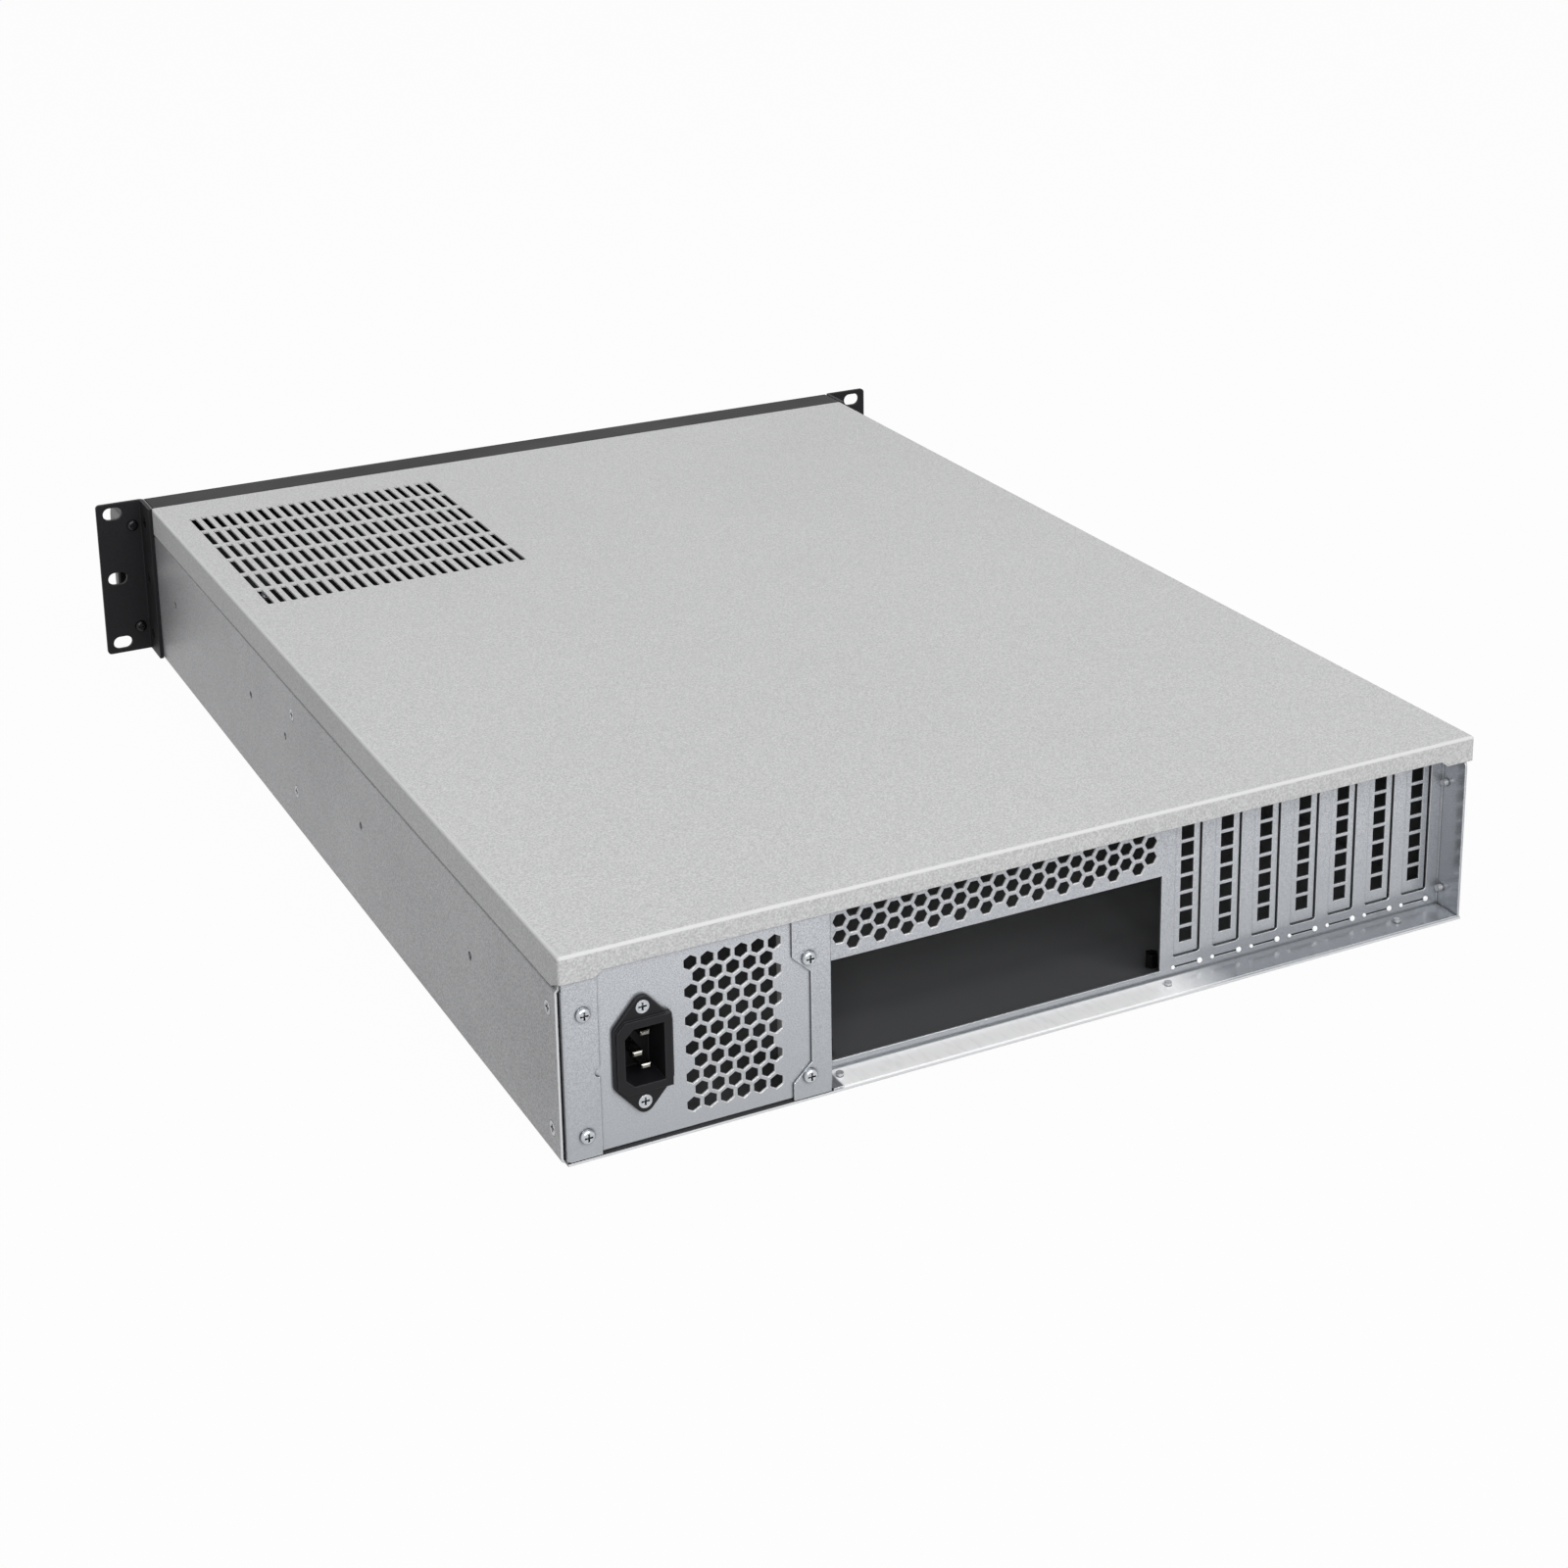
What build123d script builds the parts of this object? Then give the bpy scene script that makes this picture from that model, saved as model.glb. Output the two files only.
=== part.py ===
from build123d import *
import math
import os

# Empty 2U rackmount server case. Front is at -Y, rear at +Y, +Z up, and the underside is at Z = 0.
# Lengths are in millimetres. Names that end in _x, _y or _z are places, and the others are sizes.

# Overall size
ear_span = 482.6
ear_overhang = 26.3
body_height = 88.0
body_depth = 618.0
handle_reach = 36.0

# Sheets and bends
sheet = 1.0
cover_sheet = 1.0
front_sheet = 1.2
ear_sheet = 2.0
bend = 0.5
fold_gap = 0.1

# Base pan
wall_setback = 3.5
cover_step_gap = 1.4
cover_rest_gap = 0.6
return_lip = 9.0
front_zone = 20.4
rail_hole_r = 1.9
rail_holes_from_rear = (97.1, 236.9, 352.4, 411.6)
rail_dimple_from_front = 60.1
rail_dimple_depth = 0.5

# Top cover
cover_flange = 14.8
cover_joint = 0.5
rear_lip = 8.8
rear_lip_gap = 0.4
lip_tab_drop = 2.6
lip_tab_width = 14.4
lip_tab_bevel = 3.4
vent_columns = 23
vent_rows = 6
vent_pitch_across = 6.11
vent_pitch_along = 25.76
vent_slot_length = 22.6
vent_slot_width = 3.2
vent_slot_round = 1.0
vent_from_side = 82.5
vent_from_front = 125.0

# Rear panel
strip_gap = 0.7
strip_width = 13.9
strip_notch_r = 2.1
strip_notch_height = 36.3
band_from_ports = 5.15
band_width = 17.3
band_waist = 9.3
band_waist_low = 16.4
band_waist_from_top = 32.3
band_shoulder = 7.6
window_top_margin = 6.0
recess = 14.5
side_flange = 22.0
right_flange_drop = 11.0
right_flange_round = 4.0
panel_bottom_gap = 0.4
shelf_drop = 7.0
shelf_setback = 2.0

# Port opening and its vents
port_width = 158.75
port_height = 44.45
port_bottom = 5.1
hex_pitch = 7.0
hex_flats = 5.7
port_vent_columns = 25
port_vent_gap = 5.9
port_vent_column_pitch = 6.13

# Expansion slots
slot_count = 7
slot_pitch = 20.32
slot_gap = 6.5
slot_side_gap = 6.48
slot_width = 13.7
slot_bottom = 10.0
slot_round = 1.4
slit_height = 5.5
slit_thickness = 0.8
slit_bump_r = 1.3
slit_bump_small_r = 0.9
slit_bump_height = 0.7
cover_plate_sheet = 0.8
cover_plate_side_gap = 0.7
cover_plate_end_gap = 0.6
cover_plate_overlap = 1.7
cover_tab_width = 18.0
cover_tab_depth = 11.5
cover_tongue_width = 10.2
cover_tongue_bottom = 3.0
cover_joggle = 1.6
square_side = 6.5
square_pitch = 7.92
square_lowest = 19.1
square_top_margin = 11.5

# Inlet plate and power inlet
plate_margin = 6.2
plate_bottom = 2.4
plate_top_gap = 4.0
plate_flange = 32.0
plate_hex_pitch = 7.12
plate_hex_row_pitch = 6.02
plate_hex_inset = 7.0
plate_hex_from_inlet = 20.5
plate_hex_lowest = 11.4
plate_hex_top_margin = 8.0
plate_hex_flats = 5.7
plate_hex_turn = 30.0
inlet_from_strip = 31.8
inlet_z = 39.4
inlet_flange_length = 53.0
inlet_flange_width = 24.4
inlet_flange_straight = 25.0
inlet_flange_thickness = 1.8
inlet_rim = 1.2
inlet_rim_wall = 3.2
inlet_tip_round = 4.0
inlet_body_length = 27.0
inlet_body_width = 19.8
inlet_body_depth = 18.0
inlet_mouth_length = 24.2
inlet_mouth_width = 16.4
inlet_mouth_depth = 16.0
inlet_mouth_chamfer = 3.6
inlet_screw_spacing = 40.0
pin_spacing = 14.0
pin_offset = 2.0
pin_wide = 4.0
pin_thin = 2.0
pin_length = 12.0
earth_extra = 1.8
terminal_length = 8.0
terminal_thick = 0.8
terminal_wide = 4.8

# Screws: shank and head radii, head heights and the clearance of a shank in its hole
screw_r = 1.5
screw_clearance = 0.05
pan_head_r = 3.0
pan_head_height = 2.0
flat_head_r = 3.2
flat_head_depth = 1.6
small_head_r = 2.8
screw_length = 6.0
handle_screw_r = 2.0
handle_head_r = 3.2
handle_head_height = 2.2
cross_length = 3.4
cross_width = 0.8
cross_depth = 1.1
head_round = 0.8
screw_row_low = 11.0
screw_row_from_top = 26.0
side_screw_from_rear = 11.5
strip_screw_inset = 7.8
band_screw_inset = 10.4
floor_screw_from_rear = 7.8
floor_screw_from_band = 6.8
floor_screw_from_ports = 0.2
floor_screw_from_right = 27.5

# Ears and handles
ear_flange_depth = 22.0
ear_corner_round = 2.0
ear_slot_length = 10.5
ear_slot_width = 7.2
ear_slot_inset = 8.75
ear_slot_end_gap = 5.9
ear_screw_end_gap = 11.0
ear_screw_from_front = 10.0
handle_from_wall = 7.0
handle_end_gap = 14.0
handle_width = 8.0
handle_thickness = 9.0
handle_bend = 9.0
handle_edge_round = 1.6
handle_thread_depth = 8.0

# Front panel and its controls
front_slot_pitch = 8.0
front_slot_width = 4.0
front_slot_end_gap = 16.0
front_slot_margin = 16.0
control_from_side = 43.0
board_gap = 11.0
board_thickness = 1.6
board_width = 46.0
board_height = 46.0
board_screw_inset = 4.0
spacer_r = 2.6
power_button_r = 6.0
reset_button_r = 2.6
button_clearance = 0.2
button_flange = 1.2
button_flange_thickness = 1.0
button_proud = 1.5
button_travel = 1.2
power_button_dz = 10.0
reset_button_dz = -4.0
button_dx = 12.0
switch_side = 6.0
switch_height = 3.4
plunger_r = 1.6
plunger_height = 1.4
led_r = 1.5
led_count = 3
led_pitch = 8.0
led_dz = -15.0
usb_width = 13.2
usb_height = 5.8
usb_wall = 0.4
usb_pitch = 12.0
usb_dx = -11.0
usb_dz = 3.0

# Fan wall and fans
fan_wall_from_front = 287.0
fan_wall_flange = 15.5
fan_wall_top_gap = 4.0
fan_wall_screw_low = 20.4
fan_wall_screw_from_top = 28.0
fan_count = 4
fan_gap = 6.0
fan_lift = 1.1
fan_headroom = 4.0
fan_depth = 25.0
fan_hole_inset = 4.25
fan_hole_r = 2.2
fan_duct_wall = 1.7
fan_corner_round = 3.0
fan_rim = 3.6
fan_mount_r = 19.0
fan_mount_thickness = 3.0
fan_strut_width = 4.0
fan_bearing_r = 4.0
fan_motor_r = 13.5
fan_shaft_r = 1.5
fan_shaft_clearance = 0.05
rotor_hub_r = 18.0
rotor_wall = 1.5
rotor_front_gap = 2.0
rotor_rear_gap = 2.0
blade_count = 7
blade_tip_gap = 1.0
blade_thickness = 1.4
blade_chord = 17.0
blade_angle = 38.0
fan_screw_r = 2.1
cable_window_width = 18.0
cable_window_height = 50.0

# Drive cages
cage_count = 2
cage_supply_gap = 45.0
cage_top_gap = 5.0
cage_length = 150.0
cage_gap = 4.0
cage_side_gap = 9.0
cage_from_front = 26.0
cage_rows = 3
cage_slot_span = 101.6
cage_slot_length = 10.0
cage_slot_width = 3.8
cage_air_length = 60.0
cage_air_width = 9.0
cage_screw_inset = 20.0

# Power supply bracket
supply_width = 150.0
supply_top_gap = 5.0
supply_from_side = 85.0
supply_bracket_from_front = 200.0
supply_foot = 16.0
supply_window_width = 118.0
supply_window_height = 58.0
supply_hole_span = 138.0
supply_hole_lowest = 11.5
supply_hole_top_margin = 7.5

# Motherboard standoffs
standoff_flats = 5.0
standoff_height = 6.35
standoff_hole_r = 1.25
standoff_columns_from_ports = (153.28, -4.2, -128.66)
standoff_rows_from_rear = (27.0, 181.94, 254.33)

# Places and sizes worked out from the ones above
overall_depth = handle_reach + body_depth + max(rear_lip_gap + cover_sheet, pan_head_height)
front_y = handle_reach - overall_depth / 2
rear_y = front_y + body_depth
half_width = ear_span / 2 - ear_overhang
ear_half = ear_span / 2
joggle = cover_sheet + fold_gap
joggled_x = half_width - joggle
wall_inner_x = half_width - sheet
wall_lower_height = body_height - cover_flange - cover_step_gap
wall_top_z = body_height - cover_sheet - cover_rest_gap
wall_end_y = rear_y - wall_setback
rail_hole_height = body_height / 2
cover_front_y = front_y + front_zone + cover_joint
lip_outer_y = rear_y + rear_lip_gap + cover_sheet
vent_centre_x = half_width - vent_from_side
strip_x = wall_inner_x - strip_gap
right_x = -(joggled_x - 2 * sheet - fold_gap)
recess_y = rear_y - recess
panel_bottom_z = sheet + panel_bottom_gap
panel_top_z = wall_top_z
port_right_x = right_x + slot_side_gap + (slot_count - 1) * slot_pitch + slot_width + slot_gap
slot_right_x = port_right_x - slot_gap - slot_width
band_x = port_right_x + port_width + band_from_ports
band_waist_high = body_height - band_waist_from_top
window_left_x = strip_x - strip_width
window_right_x = band_x + band_width
window_top_z = panel_top_z - window_top_margin
right_flange_height = body_height - right_flange_drop
shelf_height = body_height - shelf_drop
port_vent_lowest = port_bottom + port_height + port_vent_gap
port_vent_rows = int((shelf_height - sheet - port_vent_lowest - hex_flats / 2) / hex_pitch) + 1
square_count = int((shelf_height - square_top_margin - square_lowest) / square_pitch) + 1
plate_y = recess_y - sheet
plate_front_y = rear_y - sheet
plate_back_y = plate_front_y - sheet
plate_top = body_height - plate_top_gap
inlet_x = strip_x - inlet_from_strip
inlet_face_y = plate_front_y + inlet_flange_thickness + inlet_rim
plate_hex_first_x = window_right_x + plate_hex_inset
plate_hex_columns = int((inlet_x - plate_hex_from_inlet - plate_hex_first_x) / plate_hex_pitch) + 1
plate_hex_rows = int((window_top_z - plate_hex_top_margin - plate_hex_lowest) / plate_hex_row_pitch) + 1
shank_hole_r = screw_r + screw_clearance
screw_rows = (screw_row_low, body_height - screw_row_from_top)
floor_screws_x = (band_x - floor_screw_from_band, port_right_x + floor_screw_from_ports,
                  right_x + floor_screw_from_right)
rack_hole_width = ear_span - 2 * ear_slot_inset
rack_hole_height = body_height - 2 * ear_slot_end_gap
ear_screw_rows = (ear_screw_end_gap, body_height / 2, body_height - ear_screw_end_gap)
handle_x = half_width + handle_from_wall
handle_spacing = body_height - 2 * handle_end_gap
control_x = half_width - control_from_side
fan_wall_from_rear = body_depth - fan_wall_from_front
fan_wall_height = body_height - fan_wall_top_gap
fan_wall_screw_rows = (fan_wall_screw_low, body_height - fan_wall_screw_from_top)
fan_side = fan_wall_height - fan_headroom
fan_pitch = fan_side + fan_gap
fan_hole_spacing = fan_side - 2 * fan_hole_inset
fan_duct_r = fan_side / 2 - fan_duct_wall
supply_centre_x = half_width - supply_from_side
supply_height = body_height - supply_top_gap
supply_hole_rows = (sheet + supply_hole_lowest, sheet + supply_height - supply_hole_top_margin)
cage_first_x = cage_side_gap - half_width
cages_span = supply_centre_x - supply_width / 2 - cage_supply_gap - cage_first_x
cage_outer = (cages_span - (cage_count - 1) * cage_gap) / cage_count
cage_width = cage_outer - 2 * sheet
cage_height = body_height - cage_top_gap
cage_row_pitch = (cage_height - cage_top_gap) / cage_rows
front_slots = int((cages_span - 2 * front_slot_margin) / front_slot_pitch) + 1
front_slots_right_x = cage_first_x + cages_span - front_slot_margin
front_slot_height = body_height - 2 * front_slot_end_gap
standoff_columns_x = tuple(port_right_x + step for step in standoff_columns_from_ports)


def block(x, y, z):
    """Box between the low and high ends of each axis."""
    spans = [(min(pair), max(pair)) for pair in (x, y, z)]
    centre = [(low + high) / 2 for low, high in spans]
    return Pos(*centre) * Box(*[high - low for low, high in spans])


def rod(start, end, radius):
    """Cylinder between two points."""
    first, last = Vector(*start), Vector(*end)
    way = last - first
    plane = Plane(origin=first, z_dir=way.normalized())
    return plane.location * Cylinder(radius, way.length, align=(Align.CENTER, Align.CENTER, Align.MIN))


def run_x(face, low, high):
    """Extrudes a face drawn in Y and Z from X = low to X = high."""
    return extrude(Plane(origin=(low, 0, 0), x_dir=(0, 1, 0), z_dir=(1, 0, 0)) * face, amount=high - low)


def run_y(face, low, high):
    """Extrudes a face drawn in X and Z from Y = low to Y = high."""
    return extrude(Plane(origin=(0, high, 0), x_dir=(1, 0, 0), z_dir=(0, -1, 0)) * face, amount=high - low)


def run_z(face, low, high):
    """Extrudes a face drawn in X and Y from Z = low to Z = high."""
    return extrude(Plane(origin=(0, 0, low)) * face, amount=high - low)


def outline(points):
    """Flat face inside straight edges through the points."""
    return make_face(Polyline(*points, close=True))


def rounded(face, corners, radius):
    """The face with a fillet at each of its corners that the list names."""
    near = [v for v in face.vertices() if any((Vector(v.X, v.Y) - Vector(*c)).length < 1e-3 for c in corners)]
    return fillet(near, radius) if near else face


def folded(points, thickness, bends):
    """Section of a sheet folded along the points and on their left; bends names the rounded folds."""
    path = [Vector(*p) for p in points]
    sides = [(b - a).normalized().rotate(Axis.Z, 90) for a, b in zip(path, path[1:])]
    inner = [path[0] + sides[0] * thickness]
    for before, after, point in zip(sides, sides[1:], path[1:]):
        inner.append(point + (before + after) * (thickness / (1 + before.dot(after))))
    inner.append(path[-1] + sides[-1] * thickness)
    face = outline([(p.X, p.Y) for p in path + inner[::-1]])
    tight, wide = [], []
    for i in bends:
        left_turn = sides[i - 1].cross(sides[i]).Z > 0
        tight.append(inner[i] if left_turn else path[i])
        wide.append(path[i] if left_turn else inner[i])
    face = rounded(face, [(p.X, p.Y) for p in tight], bend)
    return rounded(face, [(p.X, p.Y) for p in wide], bend + thickness)


def seated(shape, point, outward):
    """Carries a shape built on the origin to a point, with its +Z turned outward."""
    return Plane(origin=point, z_dir=outward).location * shape


def cross_recess():
    """Cross-shaped drive recess that goes down from Z = 0."""
    depth = (Align.CENTER, Align.CENTER, Align.MAX)
    return Box(cross_length, cross_width, cross_depth, align=depth) + Box(
        cross_width, cross_length, cross_depth, align=depth)


def pan_screw(length, shank_r=screw_r, head_r=pan_head_r, head_height=pan_head_height):
    """Screw with a domed head that sits on Z = 0 and a shank below it."""
    head = Cylinder(head_r, head_height, align=(Align.CENTER, Align.CENTER, Align.MIN))
    head = fillet(head.edges().group_by(Axis.Z)[-1], head_round * head_height)
    shank = rod((0, 0, 0), (0, 0, -length), shank_r)
    return head + shank - Pos(0, 0, head_height) * cross_recess()


def flat_screw(length, head_r=flat_head_r):
    """Countersunk screw whose head is flush with Z = 0."""
    head = Pos(0, 0, -flat_head_depth / 2) * Cone(screw_r, head_r, flat_head_depth)
    return head + rod((0, 0, 0), (0, 0, -length), screw_r) - cross_recess()


def flat_hole(length, head_r=flat_head_r):
    """Countersunk hole that a flat screw sits in, with its mouth at Z = 0."""
    reach = screw_clearance
    cone = Cone(shank_hole_r, head_r + reach, flat_head_depth)
    return Pos(0, 0, -flat_head_depth / 2) * cone + rod((0, 0, reach), (0, 0, -length), shank_hole_r)


def hexagon(flats, turn=0):
    """Regular hexagon with the given width across its flats."""
    return RegularPolygon(flats / math.sqrt(3), 6, rotation=turn)


def base_pan():
    """Floor and side walls in one folded sheet, stepped in at the top for the cover's sides."""
    step_z = wall_lower_height
    right = [(half_width, 0), (half_width, step_z), (joggled_x, step_z + joggle), (joggled_x, wall_top_z),
             (joggled_x - return_lip, wall_top_z)]
    left = [(-x, z) for x, z in right[::-1]]
    body = run_y(folded(left + right, sheet, (1, 4, 5, 8)), front_y + front_zone, wall_end_y)
    nose_top = body_height - cover_rest_gap + fold_gap
    nose = [(-half_width, nose_top), (-half_width, 0), (half_width, 0), (half_width, nose_top)]
    body += run_y(folded(nose, sheet, (1, 2)), front_y, front_y + front_zone)
    flat_x = half_width - bend - sheet
    body += block((-flat_x, flat_x), (wall_end_y - fold_gap, rear_y), (0, sheet))
    cuts = []
    for side in (-1, 1):
        for from_rear in rail_holes_from_rear:
            y = rear_y - from_rear
            cuts.append(rod((side * (half_width + 1), y, rail_hole_height),
                            (side * (wall_inner_x - 1), y, rail_hole_height), rail_hole_r))
        y = front_y + rail_dimple_from_front
        cuts.append(rod((side * (half_width + 1), y, rail_hole_height),
                        (side * (half_width - rail_dimple_depth), y, rail_hole_height), rail_hole_r))
        cuts += [rod((side * (half_width + 1), y, z), (side * (wall_inner_x - 1), y, z), shank_hole_r)
                 for y, z in ear_screw_places()]
    return body - (cuts + side_holes() + floor_holes())


def side_holes():
    """Countersunk holes of the screws in both side walls, long enough for the parts behind them."""
    return [seated(flat_hole(screw_length), (side * half_width, y, z), (side, 0, 0))
            for side in (-1, 1) for y, z in side_screw_places()]


def floor_holes():
    """Countersunk holes of the screws that come up through the floor."""
    hole = flat_hole(screw_length, small_head_r)
    return [seated(hole, place, (0, 0, -1)) for place in floor_screw_places()]


def side_screw_places():
    """Y and Z of the countersunk screws in each side wall."""
    rear = [(rear_y - side_screw_from_rear, z) for z in screw_rows]
    middle = [(rear_y - fan_wall_from_rear - fan_wall_flange / 2, z) for z in fan_wall_screw_rows]
    return rear + middle


def ear_screw_places():
    """Y and Z of the screws that hold each ear."""
    return [(front_y + ear_screw_from_front, z) for z in ear_screw_rows]


def floor_screw_places():
    """Points on the underside where countersunk screws go up into the parts that stand on the floor."""
    places = [(x, rear_y - floor_screw_from_rear, 0) for x in floor_screws_x]
    for x in cage_centres_x():
        for y in (cage_front_y() + cage_screw_inset, cage_front_y() + cage_length - cage_screw_inset):
            places.append((x, y, 0))
    foot_y = supply_bracket_y() + sheet + supply_foot / 2
    places += [(supply_centre_x + side * supply_width / 3, foot_y, 0) for side in (-1, 1)]
    return places


def top_cover():
    """Lid with folded sides and a rear lip, and a field of slots over the power supply."""
    low_z = body_height - cover_flange
    outer = block((-half_width, half_width), (cover_front_y, lip_outer_y), (low_z, body_height))
    outer = fillet(outer.edges().group_by(Axis.Z)[-1].filter_by(Axis.Y), bend + cover_sheet)
    outer = fillet(outer.edges().filter_by(Axis.Z).group_by(Axis.Y)[-1], bend + cover_sheet)
    inner = block((-half_width + cover_sheet, half_width - cover_sheet),
                  (cover_front_y - 1, lip_outer_y - cover_sheet), (low_z - 1, body_height - cover_sheet))
    lid = outer - inner
    lip_z = body_height - rear_lip
    tab_z = lip_z - lip_tab_drop
    tab_x = half_width - lip_tab_width
    below = [(-tab_x, tab_z - cover_flange), (-tab_x, tab_z), (-tab_x + lip_tab_bevel, lip_z),
             (tab_x - lip_tab_bevel, lip_z), (tab_x, tab_z), (tab_x, tab_z - cover_flange)]
    lid -= run_y(outline(below), rear_y, lip_outer_y + 1)
    lid -= block((-half_width - 1, half_width + 1), (rear_y, lip_outer_y + 1), (low_z - 1, tab_z))
    slope = [(rear_y - 2 * lip_tab_bevel, low_z - 1), (rear_y - 2 * lip_tab_bevel, low_z), (rear_y, tab_z),
             (rear_y, low_z - 1)]
    lid -= run_x(outline(slope), -half_width - 1, half_width + 1)
    slot = RectangleRounded(vent_slot_width, vent_slot_length, vent_slot_round)
    middle = Pos(vent_centre_x, front_y + vent_from_front)
    places = GridLocations(vent_pitch_across, vent_pitch_along, vent_columns, vent_rows)
    field = Sketch() + [middle * place * slot for place in places]
    return lid - run_z(field, body_height - 2 * cover_sheet, body_height + 1)


def window_face():
    """Opening of the rear panel in front of the inlet plate, in X and Z."""
    left, right = window_left_x, window_right_x
    waist = band_x + band_waist
    top = window_top_z
    low = panel_bottom_z - 1
    corners = [(left, low), (left, top), (right, top), (right, band_waist_high + band_shoulder),
               (waist, band_waist_high), (waist, band_waist_low), (right, band_waist_low - band_shoulder),
               (right, low)]
    return outline(corners) + Pos(left, strip_notch_height) * Circle(strip_notch_r)


def port_vents():
    """Hexagons above the port opening, in X and Z."""
    middle = port_right_x + port_width / 2
    holes = []
    for column in range(port_vent_columns):
        x = middle + (column - (port_vent_columns - 1) / 2) * port_vent_column_pitch
        lift = 0 if column % 2 else hex_pitch / 2
        rows = port_vent_rows - (0 if column % 2 else 1)
        holes += [Pos(x, port_vent_lowest + lift + row * hex_pitch) * hexagon(hex_flats)
                  for row in range(rows)]
    return holes


def slot_left_x(index):
    """X of a slot's edge nearer to the ports."""
    return slot_right_x + slot_width - index * slot_pitch


def slot_cuts():
    """Openings of the expansion slots with the slit below each, in X and Z."""
    cuts = []
    top = shelf_height - sheet
    for index in range(slot_count):
        left = slot_left_x(index)
        right = left - slot_width
        face = outline([(left, slot_bottom), (left, top), (right, top), (right, slot_bottom)])
        cuts.append(rounded(face, [(left, slot_bottom), (right, slot_bottom)], slot_round))
        low, high = slit_height - slit_thickness / 2, slit_height + slit_thickness / 2
        ends = (right + slit_bump_r, left - slit_bump_small_r)
        cuts.append(outline([(ends[0], low), (ends[0], high), (ends[1], high), (ends[1], low)]))
    return cuts


def slit_bumps():
    """Small round bumps pressed outward at both ends of each slit."""
    bumps = []
    back, tip = plate_y + sheet / 2, recess_y + slit_bump_height
    for index in range(slot_count):
        left = slot_left_x(index)
        for x, radius in ((left, slit_bump_small_r), (left - slot_width, slit_bump_r)):
            bump = rod((x, back, slit_height), (x, tip, slit_height), radius)
            bumps.append(fillet(bump.edges().group_by(Axis.Y)[-1], head_round * slit_bump_height))
    return bumps


def rear_panel():
    """Rear wall folded from one sheet: strip, band, recess with ports and slots, floor flange and shelf."""
    path = [(strip_x, rear_y - side_flange), (strip_x, rear_y), (band_x, rear_y), (band_x, recess_y),
            (right_x, recess_y), (right_x, rear_y)]
    wall = run_z(folded(path, sheet, (1, 2, 3, 4)), sheet, panel_top_z)
    over, past = body_height, rear_y + 1
    wall -= block((band_x, right_x - 2 * sheet), (recess_y - 2 * sheet, past), (shelf_height, over))
    wall -= block((strip_x + 1, strip_x - 2 * sheet), (rear_y - side_flange - 1, rear_y - sheet - bend),
                  (wall_lower_height, over))
    wall -= block((strip_x + 1, band_x + sheet), (rear_y - sheet, past), (0, panel_bottom_z))
    wall -= block((right_x + 1, right_x - 2 * sheet), (recess_y + bend, past), (right_flange_height, over))
    corner = block((right_x, right_x - sheet), (rear_y - right_flange_round, past),
                   (right_flange_height - right_flange_round, over))
    wall -= corner - rod((right_x + 1, rear_y - right_flange_round, right_flange_height - right_flange_round),
                         (right_x - 2, rear_y - right_flange_round, right_flange_height - right_flange_round),
                         right_flange_round)
    inside = bend + sheet
    wall += block((band_x - fold_gap, right_x + fold_gap), (recess_y - sheet, rear_y), (sheet, 2 * sheet))
    wall += block((band_x - inside, right_x + inside), (recess_y - sheet, rear_y - shelf_setback),
                  (shelf_height - sheet, shelf_height))
    wall -= run_y(window_face(), rear_y - sheet, rear_y + 1)
    port = block((port_right_x, port_right_x + port_width), (recess_y - 2 * sheet, recess_y + 1),
                 (port_bottom, port_bottom + port_height))
    flat = Sketch() + port_vents() + slot_cuts()
    wall -= [port, run_y(flat, recess_y - 2 * sheet, recess_y + 1)]
    return wall + slit_bumps() - rear_panel_holes()


def rear_panel_holes():
    """Screw holes of the rear panel."""
    holes = [rod((x, rear_y + 1, z), (x, plate_back_y, z), shank_hole_r) for x, z in plate_screw_places()]
    holes += side_holes() + floor_holes()
    holes += [rod((x, y, shelf_height - 2 * sheet), (x, y, shelf_height + 1), shank_hole_r)
              for x, y in slot_screw_places()]
    return holes


def plate_screw_places():
    """X and Z of the screws that hold the inlet plate to the rear panel."""
    return [(x, z) for x in (strip_x - strip_screw_inset, band_x + band_screw_inset) for z in screw_rows]


def slot_screw_places():
    """X and Y of the screws that hold the slot covers down on the shelf."""
    y = recess_y + cover_tab_depth / 2
    return [(slot_left_x(index) - slot_width / 2, y) for index in range(slot_count)]


def inlet_outline(length, width, straight):
    """Six-sided outline of the inlet's flange, in X and Z."""
    return [(0, length / 2), (-width / 2, straight / 2), (-width / 2, -straight / 2), (0, -length / 2),
            (width / 2, -straight / 2), (width / 2, straight / 2)]


def inlet_mouth(grow=0):
    """Outline of the inlet's socket, with its two cut corners towards +X, in X and Z."""
    x, z = inlet_mouth_width / 2 + grow, inlet_mouth_length / 2 + grow
    cut = inlet_mouth_chamfer
    return outline([(-x, -z), (x - cut, -z), (x, -z + cut), (x, z - cut), (x - cut, z), (-x, z)])


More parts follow.
